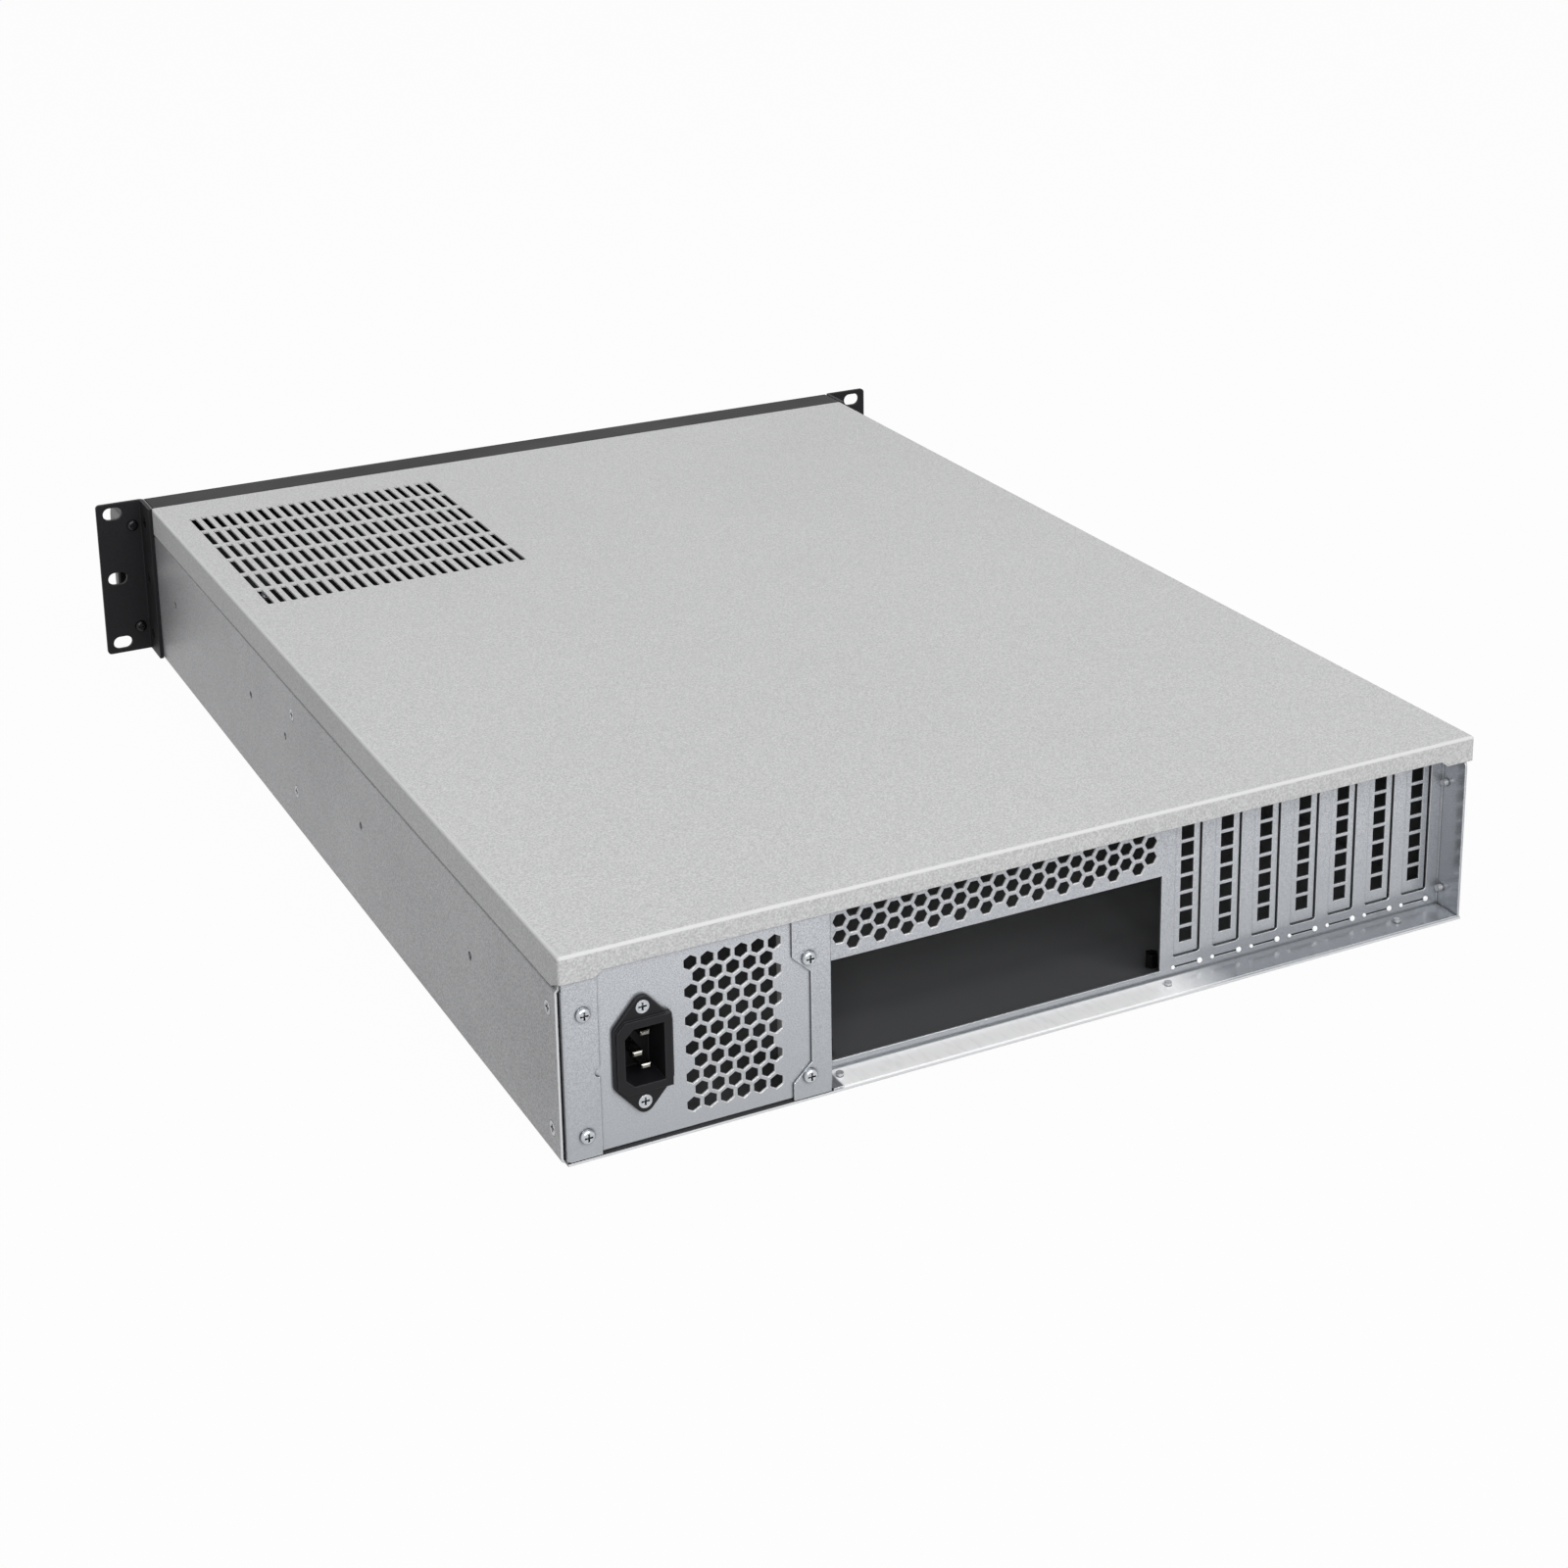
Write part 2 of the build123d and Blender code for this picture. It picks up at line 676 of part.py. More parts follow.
def inlet_plate():
    """Plate behind the window, folded forward beside the ports, with vents and the inlet's cut-out."""
    low_x, high_x = band_x + sheet + plate_margin, strip_x - sheet - bend
    path = [(high_x, plate_front_y), (low_x, plate_front_y), (low_x, plate_front_y - plate_flange)]
    plate = run_z(folded(path, sheet, (1,)), plate_bottom, plate_top)
    holes = []
    for row in range(plate_hex_rows):
        z = plate_hex_lowest + row * plate_hex_row_pitch
        first = plate_hex_first_x + row % 2 * plate_hex_pitch / 2
        holes += [Pos(first + k * plate_hex_pitch, z) * hexagon(plate_hex_flats, plate_hex_turn)
                  for k in range(plate_hex_columns - row % 2)]
    holes.append(Pos(inlet_x, inlet_z) * Rectangle(inlet_body_width + fold_gap, inlet_body_length + fold_gap))
    holes += [Pos(inlet_x, inlet_z + side * inlet_screw_spacing / 2) * Circle(shank_hole_r)
              for side in (-1, 1)]
    holes += [Pos(x, z) * Circle(shank_hole_r) for x, z in plate_screw_places()]
    return plate - run_y(Sketch() + holes, plate_back_y - bend, plate_front_y + 1)


def inlet_body():
    """Moulded housing of the power inlet: flange, raised rim, socket and screw holes."""
    points = inlet_outline(inlet_flange_length, inlet_flange_width, inlet_flange_straight)
    flange = rounded(outline(points), [points[0], points[3]], inlet_tip_round)
    rest = [p for p in points if p[0]]
    flange = rounded(flange, rest, inlet_tip_round / 2)
    face_y = plate_front_y + inlet_flange_thickness
    body = run_y(flange, plate_front_y, face_y)
    body += run_y(inlet_mouth(inlet_rim_wall), plate_front_y, inlet_face_y)
    tub = Rectangle(inlet_body_width, inlet_body_length)
    body += run_y(tub, plate_front_y - inlet_body_depth, plate_front_y)
    body -= run_y(inlet_mouth(), inlet_face_y - inlet_mouth_depth, inlet_face_y + 1)
    body = Pos(inlet_x, 0, inlet_z) * body
    for side in (-1, 1):
        place = (inlet_x, face_y, inlet_z + side * inlet_screw_spacing / 2)
        body -= seated(flat_hole(screw_length, small_head_r), place, (0, 1, 0))
    return body - [pin_block(*pin) for pin in pin_places()]


def pin_places():
    """X, Z and front Y of the three pins."""
    tip = inlet_face_y - inlet_mouth_depth + pin_length
    row_x = inlet_x - pin_offset
    outer = [(row_x, inlet_z + side * pin_spacing / 2, tip) for side in (-1, 1)]
    return outer + [(inlet_x + pin_offset, inlet_z, tip + earth_extra)]


def pin_block(x, z, tip):
    """Blade of one pin, from the housing's back wall to its tip."""
    back = plate_front_y - inlet_body_depth
    return block((x - pin_wide / 2, x + pin_wide / 2), (back, tip), (z - pin_thin / 2, z + pin_thin / 2))


def inlet_pins():
    """Three pins with flat terminals behind the housing."""
    back = plate_front_y - inlet_body_depth
    pins = []
    for x, z, tip in pin_places():
        terminal = block((x - terminal_wide / 2, x + terminal_wide / 2), (back - terminal_length, back),
                         (z - terminal_thick / 2, z + terminal_thick / 2))
        blade = pin_block(x, z, tip)
        blade = chamfer(blade.edges().group_by(Axis.Y)[-1], pin_thin / 4)
        pins.append(blade + terminal)
    return Compound(children=pins)


def slot_cover(index):
    """Vented cover behind one slot, with a screw tab on the shelf and a tongue at the bottom."""
    left = slot_left_x(index) + cover_plate_overlap
    right = slot_left_x(index) - slot_width + cover_plate_side_gap
    middle = slot_left_x(index) - slot_width / 2
    front, back = plate_y, plate_y - cover_plate_sheet
    low = slot_bottom + cover_plate_end_gap
    top = shelf_height + cover_plate_sheet
    plate = block((right, left), (back, front), (low, top))
    half = cover_tab_width / 2
    tab = block((middle - half, middle + half), (back, recess_y + cover_tab_depth), (shelf_height, top))
    tongue_back = back - cover_joggle
    half = cover_tongue_width / 2
    tongue = block((middle - half, middle + half), (tongue_back, tongue_back + cover_plate_sheet),
                   (cover_tongue_bottom, low + cover_plate_sheet))
    knee = block((middle - half, middle + half), (tongue_back, front), (low, low + cover_plate_sheet))
    cover = plate + tab + tongue + knee
    squares = [block((middle - square_side / 2, middle + square_side / 2), (back - 1, front + 1),
                     (z - square_side / 2, z + square_side / 2))
               for z in (square_lowest + k * square_pitch for k in range(square_count))]
    x, y = slot_screw_places()[index]
    return cover - squares - rod((x, y, shelf_height - 1), (x, y, top + 1), shank_hole_r)


def front_slot_face():
    """Ventilation slots of the front panel, in X and Z."""
    slot = SlotOverall(front_slot_height, front_slot_width, rotation=90)
    return Sketch() + [Pos(front_slots_right_x - k * front_slot_pitch, body_height / 2) * slot
                       for k in range(front_slots)]


def control_z():
    """Height of the middle of the controls."""
    return body_height / 2


def board_front_y():
    """Front face of the small board behind the controls."""
    return front_y + front_sheet + board_gap


def button_places():
    """X, Z and radius of the power button and the reset button."""
    return [(control_x + button_dx, control_z() + power_button_dz, power_button_r),
            (control_x + button_dx, control_z() + reset_button_dz, reset_button_r)]


def led_places():
    """X and Z of the indicator lamps."""
    steps = [(k - (led_count - 1) / 2) * led_pitch for k in range(led_count)]
    return [(control_x + step, control_z() + led_dz) for step in steps]


def usb_places():
    """X and Z of the two front sockets."""
    return [(control_x + usb_dx, control_z() + usb_dz + side * usb_pitch / 2) for side in (-1, 1)]


def spacer_places():
    """X and Z of the spacers between the front panel and the board."""
    x, z = board_width / 2 - board_screw_inset, board_height / 2 - board_screw_inset
    corners = ((-1, 1), (1, -1), (-1, -1))
    return [(control_x + side_x * x, control_z() + side_z * z) for side_x, side_z in corners]


def front_panel():
    """Black channel across the front: face, top strip, bottom lip and side flanges."""
    back = front_y + front_zone
    section = [(back, body_height), (front_y, body_height), (front_y, sheet), (back, sheet)]
    wide = wall_inner_x - fold_gap
    panel = run_x(folded(section, front_sheet, (1, 2)), -wide, wide)
    panel -= [block((side * wide, side * (wide - bend)), (front_y - 1, back + 1), (0, sheet + bend))
              for side in (-1, 1)]
    for side in (-1, 1):
        panel += block((side * wide, side * (wide - front_sheet)), (front_y + front_sheet / 2, back),
                       (sheet + bend, body_height - front_sheet / 2))
    cuts = [front_slot_face()]
    cuts += [Pos(x, z) * Circle(r + button_clearance) for x, z, r in button_places()]
    cuts += [Pos(x, z) * Circle(led_r + screw_clearance) for x, z in led_places()]
    cuts += [Pos(x, z) * Rectangle(usb_width + fold_gap, usb_height + fold_gap) for x, z in usb_places()]
    panel -= run_y(Sketch() + cuts, front_y - 1, front_y + 2 * front_sheet)
    holes = [rod((side * half_width, y, z), (side * (wide - 2 * front_sheet), y, z), shank_hole_r)
             for side in (-1, 1) for y, z in ear_screw_places()]
    return panel - holes


def ear(side):
    """Rack ear: an angle outside the wall, with three slots and the holes of the handle and flange screws."""
    section = [(half_width, front_y + ear_flange_depth), (half_width, front_y), (ear_half, front_y)]
    angle = run_z(folded(section, ear_sheet, (1,)), 0, body_height)
    outer_edges = angle.edges().filter_by(Axis.Y).group_by(Axis.X)[-1]
    angle = fillet(outer_edges, ear_corner_round)
    slot = SlotOverall(ear_slot_length, ear_slot_width)
    middle = Pos(rack_hole_width / 2, body_height / 2)
    cuts = [middle * Pos(0, step * rack_hole_height / 2) * slot for step in (-1, 0, 1)]
    cuts += [Pos(handle_x, z) * Circle(handle_screw_r + screw_clearance) for z in handle_screw_z()]
    angle -= run_y(Sketch() + cuts, front_y - 1, front_y + ear_sheet + 1)
    angle -= [seated(flat_hole(screw_length), (half_width + ear_sheet, y, z), (1, 0, 0))
              for y, z in ear_screw_places()]
    return angle if side > 0 else mirror(angle, about=Plane.YZ)


def handle_screw_z():
    """Heights of the two screws of a handle."""
    return [body_height / 2 + side * handle_spacing / 2 for side in (-1, 1)]


def handle(side):
    """U-shaped pull handle in front of an ear, with blind screw holes in its legs."""
    half = handle_spacing / 2 + handle_width / 2
    tip = front_y - handle_reach
    middle = body_height / 2
    points = [(front_y, middle + half), (tip, middle + half), (tip, middle - half), (front_y, middle - half)]
    inner_half = half - handle_width
    inside = [(front_y, middle - inner_half), (tip + handle_thickness, middle - inner_half),
              (tip + handle_thickness, middle + inner_half), (front_y, middle + inner_half)]
    face = outline(points + inside)
    face = rounded(face, [points[1], points[2]], handle_bend)
    face = rounded(face, [inside[1], inside[2]], handle_bend / 3)
    grip = run_x(face, handle_x - handle_width / 2, handle_x + handle_width / 2)
    sides = grip.faces().filter_by(Axis.X)
    rims = [e for f in sides for e in f.edges() if e.center().Y < front_y - fold_gap]
    grip = fillet(rims, handle_edge_round)
    grip -= [rod((handle_x, front_y + 1, z), (handle_x, front_y - handle_thread_depth, z),
                 handle_screw_r + screw_clearance) for z in handle_screw_z()]
    return grip if side > 0 else mirror(grip, about=Plane.YZ)


def control_board():
    """Small circuit board that carries the switches, lamps and sockets."""
    y = board_front_y()
    board = block((control_x - board_width / 2, control_x + board_width / 2), (y, y + board_thickness),
                  (control_z() - board_height / 2, control_z() + board_height / 2))
    return board - [rod((x, y - 1, z), (x, y + 2 * board_thickness, z), shank_hole_r)
                    for x, z in spacer_places()]


def board_spacers():
    """Round spacers pressed into the front panel's back."""
    start, end = front_y + front_sheet, board_front_y()
    return Compound(children=[rod((x, start, z), (x, end, z), spacer_r)
                              - rod((x, end - screw_length, z), (x, end + 1, z), shank_hole_r)
                              for x, z in spacer_places()])


def board_screws():
    """Screws that hold the board on its spacers."""
    face = board_front_y() + board_thickness
    return screws(pan_screw(screw_length), [(x, face, z) for x, z in spacer_places()], (0, 1, 0))


def board_switches():
    """Two push switches behind the buttons."""
    face = board_front_y()
    switches = []
    for x, z, _ in button_places():
        case = block((x - switch_side / 2, x + switch_side / 2), (face - switch_height, face),
                     (z - switch_side / 2, z + switch_side / 2))
        switches.append(case + rod((x, face, z), (x, face - switch_height - plunger_height, z), plunger_r))
    return Compound(children=switches)


def button(x, z, radius):
    """Push button: cap through the front panel, stop flange behind it and a stem towards the switch."""
    inner = front_y + front_sheet + fold_gap
    cap = rod((x, front_y - button_proud, z), (x, inner + button_flange_thickness, z), radius)
    cap = fillet(cap.edges().group_by(Axis.Y)[0], button_proud / 3)
    flange = rod((x, inner, z), (x, inner + button_flange_thickness, z), radius + button_flange)
    end = board_front_y() - switch_height - plunger_height - button_travel - fold_gap
    return cap + flange + rod((x, inner, z), (x, end, z), plunger_r)


def indicator_lamps():
    """Lamps that stand on the board and end flush in the front panel."""
    lamps = []
    for x, z in led_places():
        body = rod((x, board_front_y(), z), (x, front_y, z), led_r)
        lamps.append(fillet(body.edges().group_by(Axis.Y)[0], led_r / 2))
    return Compound(children=lamps)


def front_sockets():
    """Two rectangular sockets with a tongue inside."""
    sockets = []
    for x, z in usb_places():
        shell = block((x - usb_width / 2, x + usb_width / 2), (front_y, board_front_y()),
                      (z - usb_height / 2, z + usb_height / 2))
        shell -= block((x - usb_width / 2 + usb_wall, x + usb_width / 2 - usb_wall),
                       (front_y - 1, board_front_y() - usb_wall),
                       (z - usb_height / 2 + usb_wall, z + usb_height / 2 - usb_wall))
        tongue = block((x - usb_width / 2 + 2, x + usb_width / 2 - 2), (front_y + 1, board_front_y()),
                       (z, z + usb_height / 4))
        sockets.append(shell + tongue)
    return Compound(children=sockets)


def fan_centres_x():
    """X of each fan's axis."""
    return [(k - (fan_count - 1) / 2) * fan_pitch for k in range(fan_count)]


def fan_rear_y():
    """Plane where the fans meet the fan wall."""
    return rear_y - fan_wall_from_rear - sheet


def fan_corners(x):
    """X and Z of the screw holes of the fan whose axis is at x."""
    half = fan_hole_spacing / 2
    return [(x + a * half, fan_axis_z() + b * half) for a in (-1, 1) for b in (-1, 1)]


def fan_axis_z():
    """Height of the fans' axes."""
    return sheet + fan_lift + fan_side / 2


def fan_wall():
    """Sheet across the case that carries the fans, with a foot and side flanges."""
    back = rear_y - fan_wall_from_rear
    front = back - sheet
    wide = wall_inner_x - fold_gap
    upper = joggled_x - sheet - fold_gap
    low_top = wall_lower_height - sheet
    low = sheet + bend
    half_edge = [(wide - bend, sheet), (wide, low), (wide, low_top), (upper, low_top), (upper, fan_wall_height)]
    edge = half_edge + [(-x, z) for x, z in half_edge[::-1]]
    cuts = []
    for x in fan_centres_x():
        cuts.append(Pos(x, fan_axis_z()) * Circle(fan_duct_r))
        cuts += [Pos(*corner) * Circle(fan_screw_r + screw_clearance) for corner in fan_corners(x)]
    window_x = (fan_centres_x()[-1] + fan_side / 2 + wide) / 2
    cuts += [Pos(side * window_x, body_height / 2) * Rectangle(cable_window_width, cable_window_height)
             for side in (-1, 1)]
    wall = run_y(outline(edge) - (Sketch() + cuts), front, back)
    wall += block((bend - wide, wide - bend), (front, back + fan_wall_flange / 2), (sheet, 2 * sheet))
    for side in (-1, 1):
        wall += block((side * wide, side * (wide - sheet)), (back - fan_wall_flange, back), (low, low_top))
    return wall - side_holes()


def fan_frame(x):
    """Square fan housing with a round duct, four struts, the motor mount and the bearing tube."""
    back = fan_rear_y()
    front = back - fan_depth
    z = fan_axis_z()
    square = RectangleRounded(fan_side, fan_side, fan_corner_round) - Circle(fan_duct_r)
    square -= Sketch() + [Pos(cx - x, cz - z) * Circle(fan_hole_r) for cx, cz in fan_corners(x)]
    frame = run_y(square, front, back)
    middle = RectangleRounded(fan_side + 1, fan_side + 1, fan_corner_round) - Circle(fan_duct_r + fan_rim / 2)
    frame -= run_y(middle - strut_free_corners(), front + fan_rim, back - fan_rim)
    mount = run_y(Circle(fan_mount_r), back - fan_mount_thickness, back)
    for turn in (45, 135, 225, 315):
        strut = Rot(0, turn, 0) * block((fan_mount_r - 1, fan_duct_r + 1), (back - fan_mount_thickness, back),
                                        (-fan_strut_width / 2, fan_strut_width / 2))
        mount += strut
    mount += rod((0, back, 0), (0, front + 3 * rotor_front_gap, 0), fan_bearing_r)
    mount += rod((0, back, 0), (0, front + 4 * rotor_front_gap, 0), fan_motor_r)
    frame = frame + mount
    frame -= rod((0, back - fan_mount_thickness / 2, 0), (0, front - 1, 0), fan_shaft_r + fan_shaft_clearance)
    return Pos(x, 0, z) * frame


def strut_free_corners():
    """Corner posts that stay between a fan's two square rims."""
    post = fan_side / 2 - fan_hole_spacing / 2 + fan_rim
    place = fan_side / 2 - post / 2 + 0.5
    corner = Rectangle(post + 1, post + 1)
    return Sketch() + [Pos(a * place, b * place) * corner for a in (-1, 1) for b in (-1, 1)]


def fan_rotor(x):
    """Hub cup with its shaft and pitched blades."""
    back = fan_rear_y() - fan_mount_thickness - rotor_rear_gap
    front = fan_rear_y() - fan_depth + rotor_front_gap
    cup = rod((0, front, 0), (0, back, 0), rotor_hub_r)
    cup = fillet(cup.edges().group_by(Axis.Y)[0], rotor_wall)
    cup -= rod((0, front + rotor_wall, 0), (0, back + 1, 0), rotor_hub_r - rotor_wall)
    cup += rod((0, front, 0), (0, fan_rear_y() - fan_mount_thickness, 0), fan_shaft_r)
    tip = fan_duct_r - blade_tip_gap
    root = rotor_hub_r - rotor_wall / 2
    middle_y = (front + back) / 2
    sweep = run_y(Circle(tip) - Circle(root), front + 0.5, back - 0.5)
    blades = []
    for k in range(blade_count):
        flat = Pos((root + tip + 1) / 2, 0, 0) * Box(tip + 1 - root, blade_thickness, blade_chord)
        pitched = Rot(blade_angle, 0, 0) * flat
        blades.append(Rot(0, k * 360 / blade_count, 0) * (Pos(0, middle_y, 0) * pitched))
    return Pos(x, 0, fan_axis_z()) * (cup + [blade & sweep for blade in blades])


def cage_front_y():
    """Front end of the drive cages."""
    return front_y + cage_from_front


def cage_centres_x():
    """X of each cage's middle plane."""
    return [cage_first_x + cage_outer / 2 + k * (cage_outer + cage_gap) for k in range(cage_count)]


def drive_cage(x):
    """Open-ended box for drives, with slots for their screws and air slots in its sides."""
    low, high = cage_front_y(), cage_front_y() + cage_length
    top = sheet + cage_height
    ring = Pos(0, (sheet + top) / 2) * (Rectangle(cage_outer, cage_height)
                                        - Rectangle(cage_width, cage_height - 2 * sheet))
    cage = run_y(ring, low, high)
    side_cuts = []
    for row in range(cage_rows):
        z = 2 * sheet + (row + 0.5) * cage_row_pitch
        for side in (-1, 1):
            place = Pos((low + high + side * cage_slot_span) / 2, z)
            side_cuts.append(place * SlotOverall(cage_slot_length, cage_slot_width))
        side_cuts.append(Pos((low + high) / 2, z) * SlotOverall(cage_air_length, cage_air_width))
    cage -= run_x(Sketch() + side_cuts, -cage_outer, cage_outer)
    return Pos(x, 0, 0) * cage - floor_holes()


def supply_bracket_y():
    """Front face of the power supply bracket."""
    return front_y + supply_bracket_from_front


def supply_bracket():
    """Upright plate that a power supply screws to, with a foot on the floor."""
    y = supply_bracket_y()
    low, high = supply_centre_x - supply_width / 2, supply_centre_x + supply_width / 2
    plate = block((low, high), (y, y + sheet), (sheet, sheet + supply_height))
    plate += block((low, high), (y, y + supply_foot), (sheet, 2 * sheet))
    middle_z = sheet + supply_height / 2
    plate -= block((supply_centre_x - supply_window_width / 2, supply_centre_x + supply_window_width / 2),
                   (y - 1, y + 2 * sheet),
                   (middle_z - supply_window_height / 2, middle_z + supply_window_height / 2))
    plate -= [rod((supply_centre_x + side * supply_hole_span / 2, y - 1, z),
                  (supply_centre_x + side * supply_hole_span / 2, y + 2, z), fan_screw_r)
              for side in (-1, 1) for z in supply_hole_rows]
    return plate - floor_holes()


def standoffs():
    """Threaded hexagonal posts for the motherboard."""
    posts = []
    for x in standoff_columns_x:
        for from_rear in standoff_rows_from_rear:
            post = run_z(hexagon(standoff_flats) - Circle(standoff_hole_r), sheet, sheet + standoff_height)
            posts.append(Pos(x, rear_y - from_rear, 0) * post)
    return Compound(children=posts)


def screws(shape, places, outward):
    """Copies of one screw, each a separate solid, seated at the places."""
    return Compound(children=[seated(shape, place, outward) for place in places])


def side_screws(places):
    """Countersunk screws at the given Y and Z in both side walls."""
    solids = [seated(flat_screw(screw_length), (side * half_width, y, z), (side, 0, 0))
              for side in (-1, 1) for y, z in places]
    return Compound(children=solids)


def ear_screws():
    """Countersunk screws that hold the ears through the walls into the front panel."""
    solids = [seated(flat_screw(screw_length), (side * (half_width + ear_sheet), y, z), (side, 0, 0))
              for side in (-1, 1) for y, z in ear_screw_places()]
    return Compound(children=solids)


def handle_screws():
    """Screws that go through the ears into the handles."""
    shape = pan_screw(ear_sheet + handle_thread_depth - 1, handle_screw_r, handle_head_r, handle_head_height)
    places = [(side * handle_x, front_y + ear_sheet, z) for side in (-1, 1) for z in handle_screw_z()]
    return screws(shape, places, (0, 1, 0))


def fan_screws():
    """Screws that hold the fans on the fan wall."""
    shape = pan_screw(screw_length + sheet, fan_screw_r, handle_head_r, handle_head_height)
    face = rear_y - fan_wall_from_rear
    return screws(shape, [(cx, face, cz) for x in fan_centres_x() for cx, cz in fan_corners(x)], (0, 1, 0))


def nodes():
    """Every piece of the case by name."""
    side_places = side_screw_places()
    inlet_screw_y = plate_front_y + inlet_flange_thickness
    tab_top = shelf_height + cover_plate_sheet
    parts = {
        "base_pan": base_pan(),
        "rear_panel": rear_panel(),
        "inlet_plate": inlet_plate(),
        "inlet_body": inlet_body(),
        "inlet_pins": inlet_pins(),
        "inlet_screws": screws(flat_screw(screw_length, small_head_r),
                               [(inlet_x, inlet_screw_y, inlet_z + side * inlet_screw_spacing / 2)
                                for side in (-1, 1)], (0, 1, 0)),
        "inlet_plate_screws": screws(pan_screw(screw_length),
                                     [(x, rear_y, z) for x, z in plate_screw_places()], (0, 1, 0)),
        "rear_side_screws": side_screws(side_places[:len(screw_rows)]),
        "fan_wall_screws": side_screws(side_places[len(screw_rows):]),
        "floor_screws": screws(flat_screw(flat_head_depth + 2 * sheet, small_head_r), floor_screw_places(),
                               (0, 0, -1)),
        "top_cover": top_cover(),
        "front_panel": front_panel(),
        "ear_screws": ear_screws(),
        "handle_screws": handle_screws(),
        "control_board": control_board(),
        "board_spacers": board_spacers(),
        "board_screws": board_screws(),
        "board_switches": board_switches(),
        "indicator_lamps": indicator_lamps(),
        "front_sockets": front_sockets(),
        "power_button": button(*button_places()[0]),
        "reset_button": button(*button_places()[1]),
        "fan_wall": fan_wall(),
        "fan_screws": fan_screws(),
        "supply_bracket": supply_bracket(),
        "standoffs": standoffs(),
        "slot_cover_screws": screws(pan_screw(screw_length - 2),
                                    [(x, y, tab_top) for x, y in slot_screw_places()], (0, 0, 1)),
    }
    for name, side in (("left", -1), ("right", 1)):
        parts[f"ear_{name}"] = ear(side)
        parts[f"handle_{name}"] = handle(side)
    for index in range(slot_count):
        parts[f"slot_cover_{index + 1}"] = slot_cover(index)
    for index, x in enumerate(fan_centres_x()):
        parts[f"fan_frame_{index + 1}"] = fan_frame(x)
        parts[f"fan_rotor_{index + 1}"] = fan_rotor(x)
    for index, x in enumerate(cage_centres_x()):
        parts[f"drive_cage_{index + 1}"] = drive_cage(x)
    return parts


os.makedirs("parts", exist_ok=True)
for node_name, node_shape in nodes().items():
    export_step(node_shape, f"parts/{node_name}.step")
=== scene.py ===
"""Dresses the empty 2U rackmount server case: finishes for every folded, moulded and plated piece, light, camera."""

import logging
import math
from dataclasses import dataclass, replace
from enum import Enum
from typing import Any, ClassVar

import bmesh
import bpy
from mathutils import Matrix, Vector

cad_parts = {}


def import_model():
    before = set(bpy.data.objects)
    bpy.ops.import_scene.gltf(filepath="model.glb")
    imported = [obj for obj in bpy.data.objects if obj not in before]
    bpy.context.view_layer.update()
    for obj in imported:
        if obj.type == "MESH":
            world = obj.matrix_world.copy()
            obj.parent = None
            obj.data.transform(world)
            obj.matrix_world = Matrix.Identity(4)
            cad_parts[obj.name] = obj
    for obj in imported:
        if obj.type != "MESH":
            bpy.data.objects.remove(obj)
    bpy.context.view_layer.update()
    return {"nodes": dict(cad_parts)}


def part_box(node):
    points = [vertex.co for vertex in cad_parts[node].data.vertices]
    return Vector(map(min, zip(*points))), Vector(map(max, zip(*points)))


LOG = logging.getLogger("server_case")
MM = 0.001
FRAME_PIXELS = 1600
# Sockets of a Mix node that mixes colours: the share of the second colour, the two colours and the result.
SHARE, FIRST, SECOND, MIXED = 0, 6, 7, 2

Tree = bpy.types.NodeTree
Socket = bpy.types.NodeSocket
Point = tuple[float, float, float]


def linear(colour: str) -> tuple[float, float, float, float]:
    """Turns an sRGB hex colour into linear values.

    Args:
        colour: Six hex digits after a #.

    Returns:
        Red, green and blue in linear light, and an alpha of 1.
    """
    parts = [int(colour[i:i + 2], 16) / 255 for i in (1, 3, 5)]
    red, green, blue = [c / 12.92 if c <= 0.04045 else ((c + 0.055) / 1.055) ** 2.4 for c in parts]
    return red, green, blue, 1.0


def add_node(tree: Tree, kind: str, inputs: dict[str | int, Any] | None = None, **settings: Any) -> bpy.types.Node:
    """Adds one node with its settings and links.

    Args:
        tree: Node tree that takes the node.
        kind: Blender's name of the node's type.
        inputs: Value of each input, or the socket that feeds it, by the input's name or index.
        **settings: The node's own properties.

    Returns:
        The new node.
    """
    node = tree.nodes.new(kind)
    for name, value in settings.items():
        setattr(node, name, value)
    for key, value in (inputs or {}).items():
        if isinstance(value, Socket):
            tree.links.new(value, node.inputs[key])
        else:
            node.inputs[key].default_value = value
    return node


def span(start: float, stop: float, low: float = 0.0, high: float = 1.0) -> dict[str, float]:
    """Names the ends of a change from one range to another, for a Map Range node.

    Args:
        start: Where the value gives low.
        stop: Where the value gives high.
        low: Result at start.
        high: Result at stop.

    Returns:
        The four ends by the names of the node's inputs.
    """
    return {"From Min": start, "From Max": stop, "To Min": low, "To Max": high}


def join(tree: Tree, operation: str, values: list[Socket]) -> Socket:
    """Joins several values into one.

    Args:
        tree: The material's node tree.
        operation: MULTIPLY for the product of the values, or MAXIMUM for the largest.
        values: The values.

    Returns:
        The result's socket.
    """
    whole = values[0]
    for value in values[1:]:
        whole = add_node(tree, "ShaderNodeMath", {0: whole, 1: value}, operation=operation).outputs[0]
    return whole


